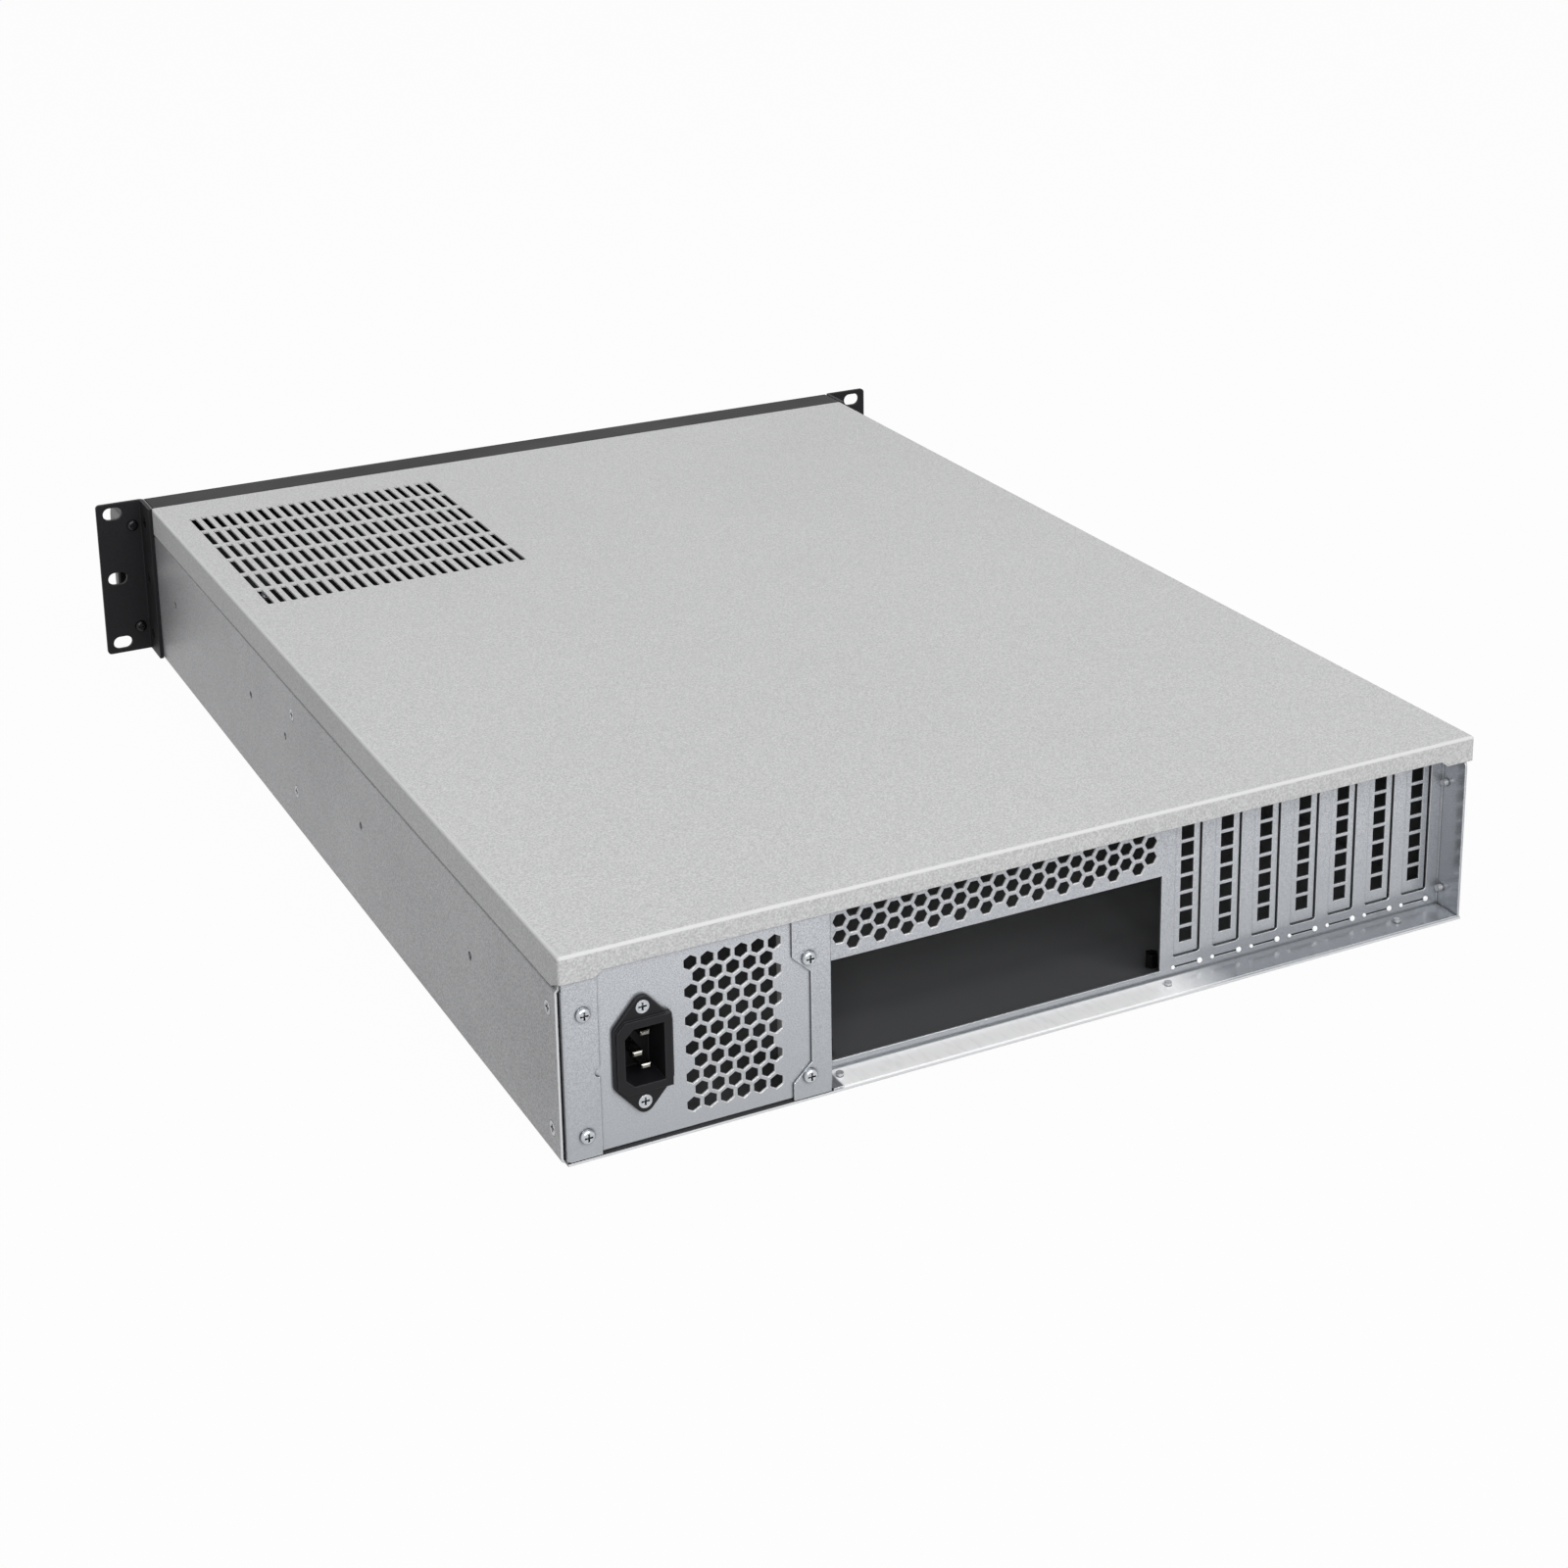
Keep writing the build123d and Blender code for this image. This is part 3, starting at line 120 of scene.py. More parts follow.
@dataclass(frozen=True)
class Region:
    """A box of the case that one treatment of the surface is kept to. It reaches past the case where it has no end.

    Attributes:
        low: Lowest corner, in metres.
        high: Highest corner.
        fade_low: Distance over which the treatment fades out before the lowest corner, along each axis.
        fade_high: Distance over which it fades out past the highest corner.
    """

    low: Point = (-1.0, -1.0, -1.0)
    high: Point = (1.0, 1.0, 1.0)
    fade_low: Point = (MM, MM, MM)
    fade_high: Point = (MM, MM, MM)

    def share(self, tree: Tree, place: Socket) -> Socket:
        """Gives 1 inside the box and 0 outside it.

        Args:
            tree: The material's node tree.
            place: Object coordinates.

        Returns:
            The result's socket.
        """
        axes = add_node(tree, "ShaderNodeSeparateXYZ", {"Vector": place}).outputs
        sides = []
        for axis, low, high, fade_low, fade_high in zip(axes, self.low, self.high, self.fade_low, self.fade_high):
            for ends in (span(low - fade_low, low), span(high + fade_high, high)):
                sides.append(add_node(tree, "ShaderNodeMapRange", {"Value": axis, **ends}).outputs["Result"])
        return join(tree, "MULTIPLY", sides)


@dataclass(frozen=True)
class Finish:
    """What every finish has: a name, two tones of its colour, its gloss and the grain of its surface.

    Attributes:
        name: Name of the material.
        colour: Main colour.
        tone: Second colour, which the grain and the clouds mix in.
        roughness: Roughness at the middle of its range.
        metallic: How much of the surface is bare metal.
        grain_mm: Width of one grain.
        grain_depth_mm: Height of the grain in the bump.
        grain_tone: How far the grain mixes the second colour in.
        cloud_mm: Width of the broad clouds of tone.
        cloud_tone: How far the clouds mix the second colour in.
        gloss_spread: How far the roughness varies with the clouds.
        edge_mm: Radius that the shading gives to sharp edges.
        edge_light_and_shade_colour: Colour painted along the sharp edges, a painted highlight where lighter and
            painted shade where darker, or nothing where they keep the surface's.
        edge_light_and_shade_share: How far the edges go towards that colour.
        specular: Level of the reflection off what isn't metal.
        coat: Weight of a clear coat.
        crevice_mm: How far the painted shade of a crevice reaches beside it, or 0 where none is painted.
        crevice_shade_colour: Colour of the painted shade in crevices.
        crevice_shade_share: How far the painted shade in crevices goes towards that colour.
        white: Colour of the painted highlights and painted reflections, which are matt.
        TONES: Values of a pattern between which it turns from the first tone into the second.
        GLOSS: Values of the clouds between which the roughness goes through its range.
        OPENNESS: Share of open sky in the open and in a crevice.
        SHARPNESS: Cosine of the rounded normal and the flat one on a face and on a sharp edge.
    """

    name: str
    colour: str
    tone: str
    roughness: float
    metallic: float = 0.0
    grain_mm: float = 0.8
    grain_depth_mm: float = 0.02
    grain_tone: float = 0.3
    cloud_mm: float = 60.0
    cloud_tone: float = 0.2
    gloss_spread: float = 0.06
    edge_mm: float = 0.3
    edge_light_and_shade_colour: str = ""
    edge_light_and_shade_share: float = 0.6
    specular: float = 0.5
    coat: float = 0.0
    crevice_mm: float = 0.0
    crevice_shade_colour: str = "#2c2d2f"
    crevice_shade_share: float = 0.8
    white: str = "#ffffff"

    TONES: ClassVar[tuple[float, float]] = (0.35, 0.65)
    GLOSS: ClassVar[tuple[float, float]] = (0.25, 0.75)
    OPENNESS: ClassVar[tuple[float, float]] = (0.9, 0.5)
    SHARPNESS: ClassVar[tuple[float, float]] = (0.99, 0.85)

    def material(self) -> bpy.types.Material:
        """Makes the material, or gives the one that is already made.

        Returns:
            The material.
        """
        made = bpy.data.materials.get(self.name)
        if made is not None:
            return made
        made = bpy.data.materials.new(self.name)
        made.use_nodes = True
        tree = made.node_tree
        tree.nodes.clear()
        place = add_node(tree, "ShaderNodeTexCoord").outputs["Object"]
        grain = add_node(tree, "ShaderNodeTexNoise", {
            "Vector": place, "Scale": 1 / (self.grain_mm * MM), "Detail": 2.0, "Roughness": 0.6}).outputs["Fac"]
        cloud = add_node(tree, "ShaderNodeTexNoise", {
            "Vector": place, "Scale": 1 / (self.cloud_mm * MM), "Detail": 3.0, "Roughness": 0.55}).outputs["Fac"]
        soft = add_node(tree, "ShaderNodeBevel", {"Radius": self.edge_mm * MM}, samples=4).outputs["Normal"]
        colour = self.colouring(tree, place, grain, cloud)
        painted_light_mask = self.painted_light_share(tree, place)
        # Painted light and shade: highlights and shade along edges, shade in crevices, and white painted highlights
        # and reflections.
        covers = []
        if self.edge_light_and_shade_colour:
            covers.append((self.edges(tree, soft), self.edge_light_and_shade_colour))
        if self.crevice_mm:
            covers.append((self.crevices(tree), self.crevice_shade_colour))
        if painted_light_mask is not None:
            covers.append((painted_light_mask, self.white))
        for share, cover in covers:
            colour = add_node(tree, "ShaderNodeMix", {SHARE: share, FIRST: colour, SECOND: linear(cover)},
                              data_type="RGBA").outputs[MIXED]
        gloss = span(*self.GLOSS, self.roughness - self.gloss_spread, self.roughness + self.gloss_spread)
        rough = add_node(tree, "ShaderNodeMapRange", {"Value": cloud, **gloss}).outputs["Result"]
        relief = add_node(tree, "ShaderNodeBump", {
            "Strength": 1.0, "Distance": self.grain_depth_mm * MM, "Height": grain, "Normal": soft}).outputs["Normal"]
        shader = add_node(tree, "ShaderNodeBsdfPrincipled", {
            "Base Color": colour, "Metallic": self.metallic, "Roughness": rough, "Normal": relief,
            "Specular IOR Level": self.specular, "Coat Weight": self.coat})
        if painted_light_mask is not None:
            bare = add_node(tree, "ShaderNodeMapRange", {"Value": painted_light_mask, **span(0.0, 1.0, self.metallic, 0.0)})
            tree.links.new(bare.outputs["Result"], shader.inputs["Metallic"])
        add_node(tree, "ShaderNodeOutputMaterial", {"Surface": shader.outputs["BSDF"]})
        made.diffuse_color = linear(self.colour)
        made.metallic = self.metallic
        made.roughness = self.roughness
        return made

    def colouring(self, tree: Tree, place: Socket, grain: Socket, cloud: Socket) -> Socket:
        """Mixes the two tones by the grain and the clouds.

        Args:
            tree: The material's node tree.
            place: Object coordinates, for the patterns that a kind of finish adds.
            grain: Value of the grain.
            cloud: Value of the clouds.

        Returns:
            The colour's socket.
        """
        colour: Socket | tuple[float, float, float, float] = linear(self.colour)
        for pattern, tone in ((cloud, self.cloud_tone), (grain, self.grain_tone)):
            share = add_node(tree, "ShaderNodeMapRange", {"Value": pattern, **span(*self.TONES, 0.0, tone)})
            colour = add_node(tree, "ShaderNodeMix", {
                SHARE: share.outputs["Result"], FIRST: colour, SECOND: linear(self.tone)},
                data_type="RGBA").outputs[MIXED]
        return colour

    def edges(self, tree: Tree, soft: Socket) -> Socket:
        """Finds the sharp edges, where the rounded normal leaves the flat one.

        Args:
            tree: The material's node tree.
            soft: The rounded normal.

        Returns:
            Socket that gives the edges' share of the painted colour along them, and 0 elsewhere.
        """
        flat = add_node(tree, "ShaderNodeNewGeometry").outputs["Normal"]
        facing = add_node(tree, "ShaderNodeVectorMath", {0: soft, 1: flat}, operation="DOT_PRODUCT").outputs["Value"]
        return add_node(tree, "ShaderNodeMapRange", {
            "Value": facing, **span(*self.SHARPNESS, 0.0, self.edge_light_and_shade_share)}).outputs["Result"]

    def crevices(self, tree: Tree) -> Socket:
        """Finds the narrow corners and gaps, where painted shade goes.

        Args:
            tree: The material's node tree.

        Returns:
            Socket that gives the share of painted shade in them, and 0 in the open.
        """
        room = add_node(tree, "ShaderNodeAmbientOcclusion", {"Distance": self.crevice_mm * MM}, samples=6)
        return add_node(tree, "ShaderNodeMapRange", {
            "Value": room.outputs["AO"], **span(*self.OPENNESS, 0.0, self.crevice_shade_share)}).outputs["Result"]

    def painted_light_share(self, tree: Tree, place: Socket) -> Socket | None:
        """Share of the surface that is painted white and matt as painted light, or nothing where no place of it is.
        """
        return None


@dataclass(frozen=True)
class GalvanisedSheet(Finish):
    """Zinc-coated steel sheet: large, faint crystals over the fine frost of the rolled zinc.

    Attributes:
        spangle_mm: Width of one crystal of zinc.
        spangle_tone: How far a crystal's tone goes towards the second colour.
    """

    spangle_mm: float = 5.0
    spangle_tone: float = 0.2

    def colouring(self, tree: Tree, place: Socket, grain: Socket, cloud: Socket) -> Socket:
        """Adds the zinc's crystals to the two tones.

        Args:
            tree: The material's node tree.
            place: Object coordinates.
            grain: Value of the grain.
            cloud: Value of the clouds.

        Returns:
            The colour's socket.
        """
        colour = super().colouring(tree, place, grain, cloud)
        crystal = add_node(tree, "ShaderNodeTexVoronoi", {"Vector": place, "Scale": 1 / (self.spangle_mm * MM)})
        chance = add_node(tree, "ShaderNodeSeparateColor", {"Color": crystal.outputs["Color"]}).outputs["Red"]
        share = add_node(tree, "ShaderNodeMapRange", {"Value": chance, **span(0.0, 1.0, 0.0, self.spangle_tone)})
        return add_node(tree, "ShaderNodeMix", {
            SHARE: share.outputs["Result"], FIRST: colour, SECOND: linear(self.tone)},
            data_type="RGBA").outputs[MIXED]


@dataclass(frozen=True)
class CasingSheet(GalvanisedSheet):
    """Zinc-coated sheet of a closed casing: its folds take a painted highlight, and its inner faces are painted dark
    as painted shade.

    Attributes:
        inside: Painted shade: colour of the inner faces near the rear.
        inside_deep: Colour of the inner faces deep in the casing: painted light that makes up for the less light that
            comes in there.
        fold_highlight_colour: Painted highlight on the rounded folds that face up, or nothing where none is painted.
        sheared: Where the sheared edges that face the rear take a painted highlight, or nothing where none do.
        centre: Middle of the casing, in metres.
        half: Half of the casing's size, in metres.
        DEPTH: Places along Y between which the inner faces change from the one colour to the other.
        REARWARD: Share of Y in the normal of a face that is turned from the rear, and of one that faces it.
        FLATNESS: Largest share of one axis in the normal of a flat face, and of a fold.
        RISE: Share of Z in the normal of an upright fold, and of one that faces up.
        INWARD: How far a face next to the casing's outside points away from its middle, from where it counts as
            an inner face up to where it wholly is one.
    """

    inside: str = "#6c6d6f"
    inside_deep: str = "#dcdde0"
    fold_highlight_colour: str = ""
    sheared: Region | None = None
    centre: Point = (0.0, 0.0, 0.0)
    half: Point = (1.0, 1.0, 1.0)

    DEPTH: ClassVar[tuple[float, float]] = (0.27, 0.08)
    REARWARD: ClassVar[tuple[float, float]] = (0.8, 0.9)
    FLATNESS: ClassVar[tuple[float, float]] = (0.995, 0.95)
    RISE: ClassVar[tuple[float, float]] = (0.05, 0.15)
    INWARD: ClassVar[tuple[float, float]] = (-0.9, -0.95)

    def colouring(self, tree: Tree, place: Socket, grain: Socket, cloud: Socket) -> Socket:
        """Adds the painted highlight on the folds and the painted shade on the inner faces.

        Args:
            tree: The material's node tree.
            place: Object coordinates.
            grain: Value of the grain.
            cloud: Value of the clouds.

        Returns:
            The colour's socket.
        """
        colour = super().colouring(tree, place, grain, cloud)
        facing = add_node(tree, "ShaderNodeTexCoord").outputs["Normal"]
        if self.fold_highlight_colour:
            colour = add_node(tree, "ShaderNodeMix", {
                SHARE: self.folds(tree, facing), FIRST: colour, SECOND: linear(self.fold_highlight_colour)},
                data_type="RGBA").outputs[MIXED]
        along = add_node(tree, "ShaderNodeSeparateXYZ", {"Vector": place}).outputs["Y"]
        deep = add_node(tree, "ShaderNodeMapRange", {"Value": along, **span(*self.DEPTH)}).outputs["Result"]
        inner = add_node(tree, "ShaderNodeMix", {
            SHARE: deep, FIRST: linear(self.inside), SECOND: linear(self.inside_deep)},
            data_type="RGBA").outputs[MIXED]
        return add_node(tree, "ShaderNodeMix", {
            SHARE: self.inner_faces(tree, place, facing), FIRST: colour, SECOND: inner},
            data_type="RGBA").outputs[MIXED]

    def folds(self, tree: Tree, facing: Socket) -> Socket:
        """Finds the faces that lean between up and sideways, as the round of a lid's fold does.

        Args:
            tree: The material's node tree.
            facing: The surface's normal.

        Returns:
            Socket that gives 1 on them, and 0 elsewhere.
        """
        size = add_node(tree, "ShaderNodeVectorMath", {0: facing}, operation="ABSOLUTE").outputs["Vector"]
        sides = add_node(tree, "ShaderNodeSeparateXYZ", {"Vector": size}).outputs
        largest = join(tree, "MAXIMUM", [sides["X"], sides["Y"], sides["Z"]])
        return join(tree, "MULTIPLY", [
            add_node(tree, "ShaderNodeMapRange", {"Value": largest, **span(*self.FLATNESS)}).outputs["Result"],
            add_node(tree, "ShaderNodeMapRange", {"Value": sides["Z"], **span(*self.RISE)}).outputs["Result"]])

    def inner_faces(self, tree: Tree, place: Socket, facing: Socket) -> Socket:
        """Finds the casing's inner faces: they lie next to its outside and point at its middle.

        Args:
            tree: The material's node tree.
            place: Object coordinates.
            facing: The surface's normal.

        Returns:
            Socket that gives 1 on them, and 0 elsewhere.
        """
        away = add_node(tree, "ShaderNodeVectorMath", {0: place, 1: self.centre}, operation="SUBTRACT")
        share = add_node(tree, "ShaderNodeVectorMath", {0: away.outputs["Vector"], 1: self.half}, operation="DIVIDE")
        outward = add_node(tree, "ShaderNodeVectorMath", {0: share.outputs["Vector"], 1: facing},
                           operation="DOT_PRODUCT")
        return add_node(tree, "ShaderNodeMapRange", {
            "Value": outward.outputs["Value"], **span(*self.INWARD)}).outputs["Result"]

    def painted_light_share(self, tree: Tree, place: Socket) -> Socket | None:
        """Gives 1 on the sheared edges that face the rear, which take a painted highlight.

        Args:
            tree: The material's node tree.
            place: Object coordinates.

        Returns:
            The share's socket, or nothing where no sheared edge takes a painted highlight.
        """
        if self.sheared is None:
            return None
        facing = add_node(tree, "ShaderNodeTexCoord").outputs["Normal"]
        rearward = add_node(tree, "ShaderNodeSeparateXYZ", {"Vector": facing}).outputs["Y"]
        return join(tree, "MULTIPLY", [
            add_node(tree, "ShaderNodeMapRange", {"Value": rearward, **span(*self.REARWARD)}).outputs["Result"],
            self.sheared.share(tree, place)])


@dataclass(frozen=True)
class HotDipSheet(GalvanisedSheet):
    """Bare hot-dip galvanised steel: bluish, with a soft mirror and faint crystals, and painted darker low down as
    painted shade, where it mirrors the shadowed floor.

    Its frost is finer than half a millimetre, and is drawn coarser so that it shows.

    Attributes:
        low_shade_colour: Painted shade low down, where the sheet mirrors the shadowed floor.
        low_shade_share: How far it goes towards that colour.
        low_shade_height: Height up to which the painted shade reaches, in metres.
        low_shade_foot: Height below which the painted shade is full.
    """

    colour: str = "#d5d8dc"
    tone: str = "#a6a9af"
    roughness: float = 0.24
    metallic: float = 0.6
    grain_mm: float = 0.55
    grain_depth_mm: float = 0.012
    grain_tone: float = 1.0
    cloud_mm: float = 35.0
    cloud_tone: float = 0.15
    gloss_spread: float = 0.05
    edge_mm: float = 0.45
    # Painted highlight along the sharp edges, and painted shade in the crevices.
    edge_light_and_shade_colour: str = "#eef0f2"
    edge_light_and_shade_share: float = 0.85
    crevice_mm: float = 1.5
    spangle_mm: float = 4.5
    spangle_tone: float = 0.12
    low_shade_colour: str = "#a2a5a9"
    low_shade_share: float = 0.75
    low_shade_height: float = 0.075
    low_shade_foot: float = 0.005

    def colouring(self, tree: Tree, place: Socket, grain: Socket, cloud: Socket) -> Socket:
        """Darkens the sheet towards its foot with painted shade.

        Args:
            tree: The material's node tree.
            place: Object coordinates.
            grain: Value of the grain.
            cloud: Value of the clouds.

        Returns:
            The colour's socket.
        """
        colour = super().colouring(tree, place, grain, cloud)
        height = add_node(tree, "ShaderNodeSeparateXYZ", {"Vector": place}).outputs["Z"]
        share = add_node(tree, "ShaderNodeMapRange", {
            "Value": height, **span(self.low_shade_height, self.low_shade_foot, 0.0, self.low_shade_share)})
        return add_node(tree, "ShaderNodeMix", {
            SHARE: share.outputs["Result"], FIRST: colour, SECOND: linear(self.low_shade_colour)},
            data_type="RGBA").outputs[MIXED]


@dataclass(frozen=True)
class PiercedSheet(HotDipSheet):
    """Hot-dip sheet whose punched holes and sheared edges are painted white and matt as a painted highlight.

    Attributes:
        punched: Where the holes take the painted highlight.
        TURN: Share of Y in the normal of a face of the sheet, and of the wall of a hole.
    """

    punched: Region = Region()

    TURN: ClassVar[tuple[float, float]] = (0.5, 0.3)

    def painted_light_share(self, tree: Tree, place: Socket) -> Socket | None:
        """Gives 1 on the walls of the holes, which turn away from the rear and take the painted highlight.

        Args:
            tree: The material's node tree.
            place: Object coordinates.

        Returns:
            The share's socket.
        """
        facing = add_node(tree, "ShaderNodeTexCoord").outputs["Normal"]
        size = add_node(tree, "ShaderNodeVectorMath", {0: facing}, operation="ABSOLUTE").outputs["Vector"]
        rearward = add_node(tree, "ShaderNodeSeparateXYZ", {"Vector": size}).outputs["Y"]
        return join(tree, "MULTIPLY", [
            add_node(tree, "ShaderNodeMapRange", {"Value": rearward, **span(*self.TURN)}).outputs["Result"],
            self.punched.share(tree, place)])


@dataclass(frozen=True)
class PaintedReflectionSheet(PiercedSheet):
    """Pierced sheet whose foot is painted white as a painted reflection, with faint streaks, and whose embossed dots
    are painted white as a painted highlight.

    Attributes:
        foot: Where the foot takes the painted reflection.
        dots: Box that holds the dots, which take a painted highlight.
        streak_mm: Width of one of the faint streaks across the foot.
        streak_turn: Slant of the streaks, in radians.
        streak_stretch: Scale of the pattern along each axis, which makes streaks of its spots.
        streak_white: Share of white in a streak, and between the streaks.
        STREAKS: Values of the pattern between which it turns from a streak into the ground.
    """

    foot: Region = Region()
    dots: Region = Region()
    streak_mm: float = 2.5
    streak_turn: float = 0.5
    streak_stretch: Point = (1.0, 0.25, 1.0)
    streak_white: tuple[float, float] = (0.94, 1.0)

    STREAKS: ClassVar[tuple[float, float]] = (0.3, 0.5)

    def painted_light_share(self, tree: Tree, place: Socket) -> Socket | None:
        """Adds the painted reflection on the foot with its streaks, and the painted highlight on the dots, to the
        punched holes.

        Args:
            tree: The material's node tree.
            place: Object coordinates.

        Returns:
            The share's socket.
        """
        turned = add_node(tree, "ShaderNodeMapping", {
            "Vector": place, "Rotation": (0.0, 0.0, self.streak_turn), "Scale": self.streak_stretch})
        noise = add_node(tree, "ShaderNodeTexNoise", {
            "Vector": turned.outputs["Vector"], "Scale": 1 / (self.streak_mm * MM), "Detail": 2.0})
        streaks = add_node(tree, "ShaderNodeMapRange", {
            "Value": noise.outputs["Fac"], **span(*self.STREAKS, *self.streak_white)}).outputs["Result"]
        reflected = join(tree, "MULTIPLY", [streaks, self.foot.share(tree, place)])
        return join(tree, "MAXIMUM", [super().painted_light_share(tree, place), reflected, self.dots.share(tree, place)])


class Palette(Enum):
    """The finishes of the case, one for each way that a piece is made, with darker copies of the zinc sheet as
    painted shade.
    """

    # Zinc-coated steel with a matt passivation, rolled to a fine frost: it looks like pale grey sand. The frost is
    # finer than a millimetre, and is drawn coarser so that it shows.
    # Its inner faces are painted darker as painted shade, and its folds take a painted highlight.
    COVER_SHEET = CasingSheet("zinc_coated_cover_sheet", "#d1d1d1", "#acacac", 0.55, 0.0, grain_mm=0.75,
                              grain_depth_mm=0.03, grain_tone=0.9, cloud_mm=130, cloud_tone=0.04, edge_mm=0.4,
                              spangle_mm=7, spangle_tone=0.02, specular=0.3, fold_highlight_colour="#d0d0d0",
                              inside="#969799", inside_deep="#969799")
    # The same sheet as the cover, painted darker as painted shade for its side walls, with some of the zinc's mirror;
    # its sheared edges take a painted highlight and its crevices painted shade.
    BASE_SHEET = CasingSheet("zinc_coated_base_sheet", "#b0b0b2", "#808082", 0.4, 0.5, grain_mm=0.75,
                             grain_depth_mm=0.03, grain_tone=0.9, cloud_mm=110, cloud_tone=0.08, edge_mm=0.4,
                             spangle_mm=7, spangle_tone=0.03, specular=0.2, crevice_mm=2.5,
                             crevice_shade_colour="#3c3d3f", white="#d6d7d9")
    # Bare hot-dip galvanised steel, unpierced: a soft, bluish mirror, with painted highlights on its edges and
    # painted shade in its crevices and low down.
    REAR_SHEET = HotDipSheet("hot_dip_galvanised_sheet")
    # The same sheet with its punched vents, whose walls are painted nearly white as a painted highlight.
    PUNCHED_SHEET = PiercedSheet("punched_galvanised_sheet")
    # The same sheet, its foot painted white as a painted reflection and its embossed dots as a painted highlight.
    REFLECTION_SHEET = PaintedReflectionSheet("galvanised_rear_sheet_painted_reflection", "#d2d5d9", "#a4a7ad", 0.22)
    # The same sheet deep inside the case, painted dark as painted shade so that it stays in the dark.
    INNER_SHEET = GalvanisedSheet("shaded_inner_sheet", "#88898b", "#78797b", 0.5, 0.2, grain_mm=0.9,
                                  grain_depth_mm=0.012, grain_tone=0.5, cloud_mm=40, cloud_tone=0.3,
                                  spangle_mm=4.5, specular=0.2)
    # Epoxy-polyester powder coat, black, cured with a fine orange-peel, with a painted highlight along its edges.
    BLACK_COAT = Finish("black_powder_coated_steel", "#1e1e20", "#272729", 0.5, grain_mm=0.7,
                        grain_depth_mm=0.04, grain_tone=0.7, cloud_mm=50, edge_mm=0.5, edge_light_and_shade_colour="#505052",
                        edge_light_and_shade_share=0.5, specular=0.12)
    # Black anodised aluminium: an even satin, with a painted highlight along the edges.
    ANODISED = Finish("black_anodised_aluminium", "#161618", "#232326", 0.38, 0.4, grain_mm=0.4,
                      grain_depth_mm=0.01, grain_tone=0.4, cloud_mm=30, edge_mm=0.4, edge_light_and_shade_colour="#4a4a4d")
    # Glass-filled polyamide, injection moulded with a spark-eroded grain: a dark satin with softly lit edges.
    MOULDED_BLACK = Finish("moulded_black_polyamide", "#141416", "#1d1d20", 0.42, grain_mm=0.35,
                           grain_depth_mm=0.012, grain_tone=0.5, cloud_mm=12, cloud_tone=0.25, edge_mm=0.5,
                           edge_light_and_shade_colour="#4c4c50", specular=0.2)
    # PBT fan plastic: a duller black than the inlet's.
    FAN_BLACK = Finish("moulded_black_fan_plastic", "#1a1a1c", "#242426", 0.5, grain_mm=0.5,
                       grain_depth_mm=0.015, grain_tone=0.5, cloud_mm=20, cloud_tone=0.25, specular=0.3)
    # Bright zinc plating over steel: a cool mirror with a slight haze, with painted shade in the cross of the head.
    ZINC_SCREW = Finish("bright_zinc_plated_screw", "#d4d6d9", "#9aa0a8", 0.22, 1.0, grain_mm=0.3,
                        grain_depth_mm=0.008, grain_tone=0.4, cloud_mm=3, cloud_tone=0.5, edge_mm=0.2,
                        crevice_mm=1.2, crevice_shade_share=0.95)
    # The same plating, dulled like the wall around it, with a rim of painted shade where the head meets the wall, and
    # painted shade in its crevices.
    COATED_SCREW = Finish("zinc_coated_countersunk_screw", "#cfd0d2", "#a4a6a9", 0.35, 0.4, grain_mm=0.4,
                          grain_depth_mm=0.015, grain_tone=0.5, cloud_mm=4, cloud_tone=0.4, edge_mm=0.5,
                          edge_light_and_shade_colour="#2c2d2f", edge_light_and_shade_share=0.9, crevice_mm=0.9, crevice_shade_share=0.95)
    # Black oxide on steel: near black, oily and shiny.
    BLACK_OXIDE = Finish("black_oxide_screw", "#202022", "#38383b", 0.22, 0.8, grain_mm=0.3,
                         grain_depth_mm=0.008, grain_tone=0.4, cloud_mm=4, cloud_tone=0.4, edge_mm=0.2)
    # Nickel over brass: a warm mirror, as on the blades of an inlet.
    NICKEL_PIN = Finish("nickel_plated_brass_pin", "#8e8c87", "#6c6a66", 0.25, 1.0, grain_mm=0.4,
                        grain_depth_mm=0.005, cloud_mm=5, cloud_tone=0.3, edge_mm=0.2)
    # Epoxy solder mask over glass cloth: black, with a wet gloss.
    SOLDER_MASK = Finish("black_solder_mask_board", "#161718", "#1e1f20", 0.3, grain_mm=0.6,
                         grain_depth_mm=0.01, grain_tone=0.5, cloud_mm=8, cloud_tone=0.4, coat=0.4)
    # Polycarbonate of the indicator lamps: milky, under a clear gloss.
    LAMP_LENS = Finish("milky_polycarbonate_lamp", "#d5dbd8", "#b8c4bf", 0.25, grain_mm=0.3,
                       grain_depth_mm=0.004, grain_tone=0.2, cloud_mm=3, cloud_tone=0.3, coat=0.5)


@dataclass
class SubAssembly:
    """A group of the case's pieces that are dressed together.

    Attributes:
        nodes: Shown CAD objects by node name.
    """

    nodes: dict[str, bpy.types.Object]

    def dress(self, finish: Palette | Finish, *names: str) -> None:
        """Gives one finish to the named nodes.

        Args:
            finish: The finish.
            *names: Node names.
        """
        material = (finish.value if isinstance(finish, Palette) else finish).material()
        for name in names:
            piece = self.nodes[name]
            piece.data.materials.clear()
            piece.data.materials.append(material)
            LOG.info("%s: %s", name, material.name)

    def build(self) -> None:
        """Dresses the group's pieces."""
        raise NotImplementedError


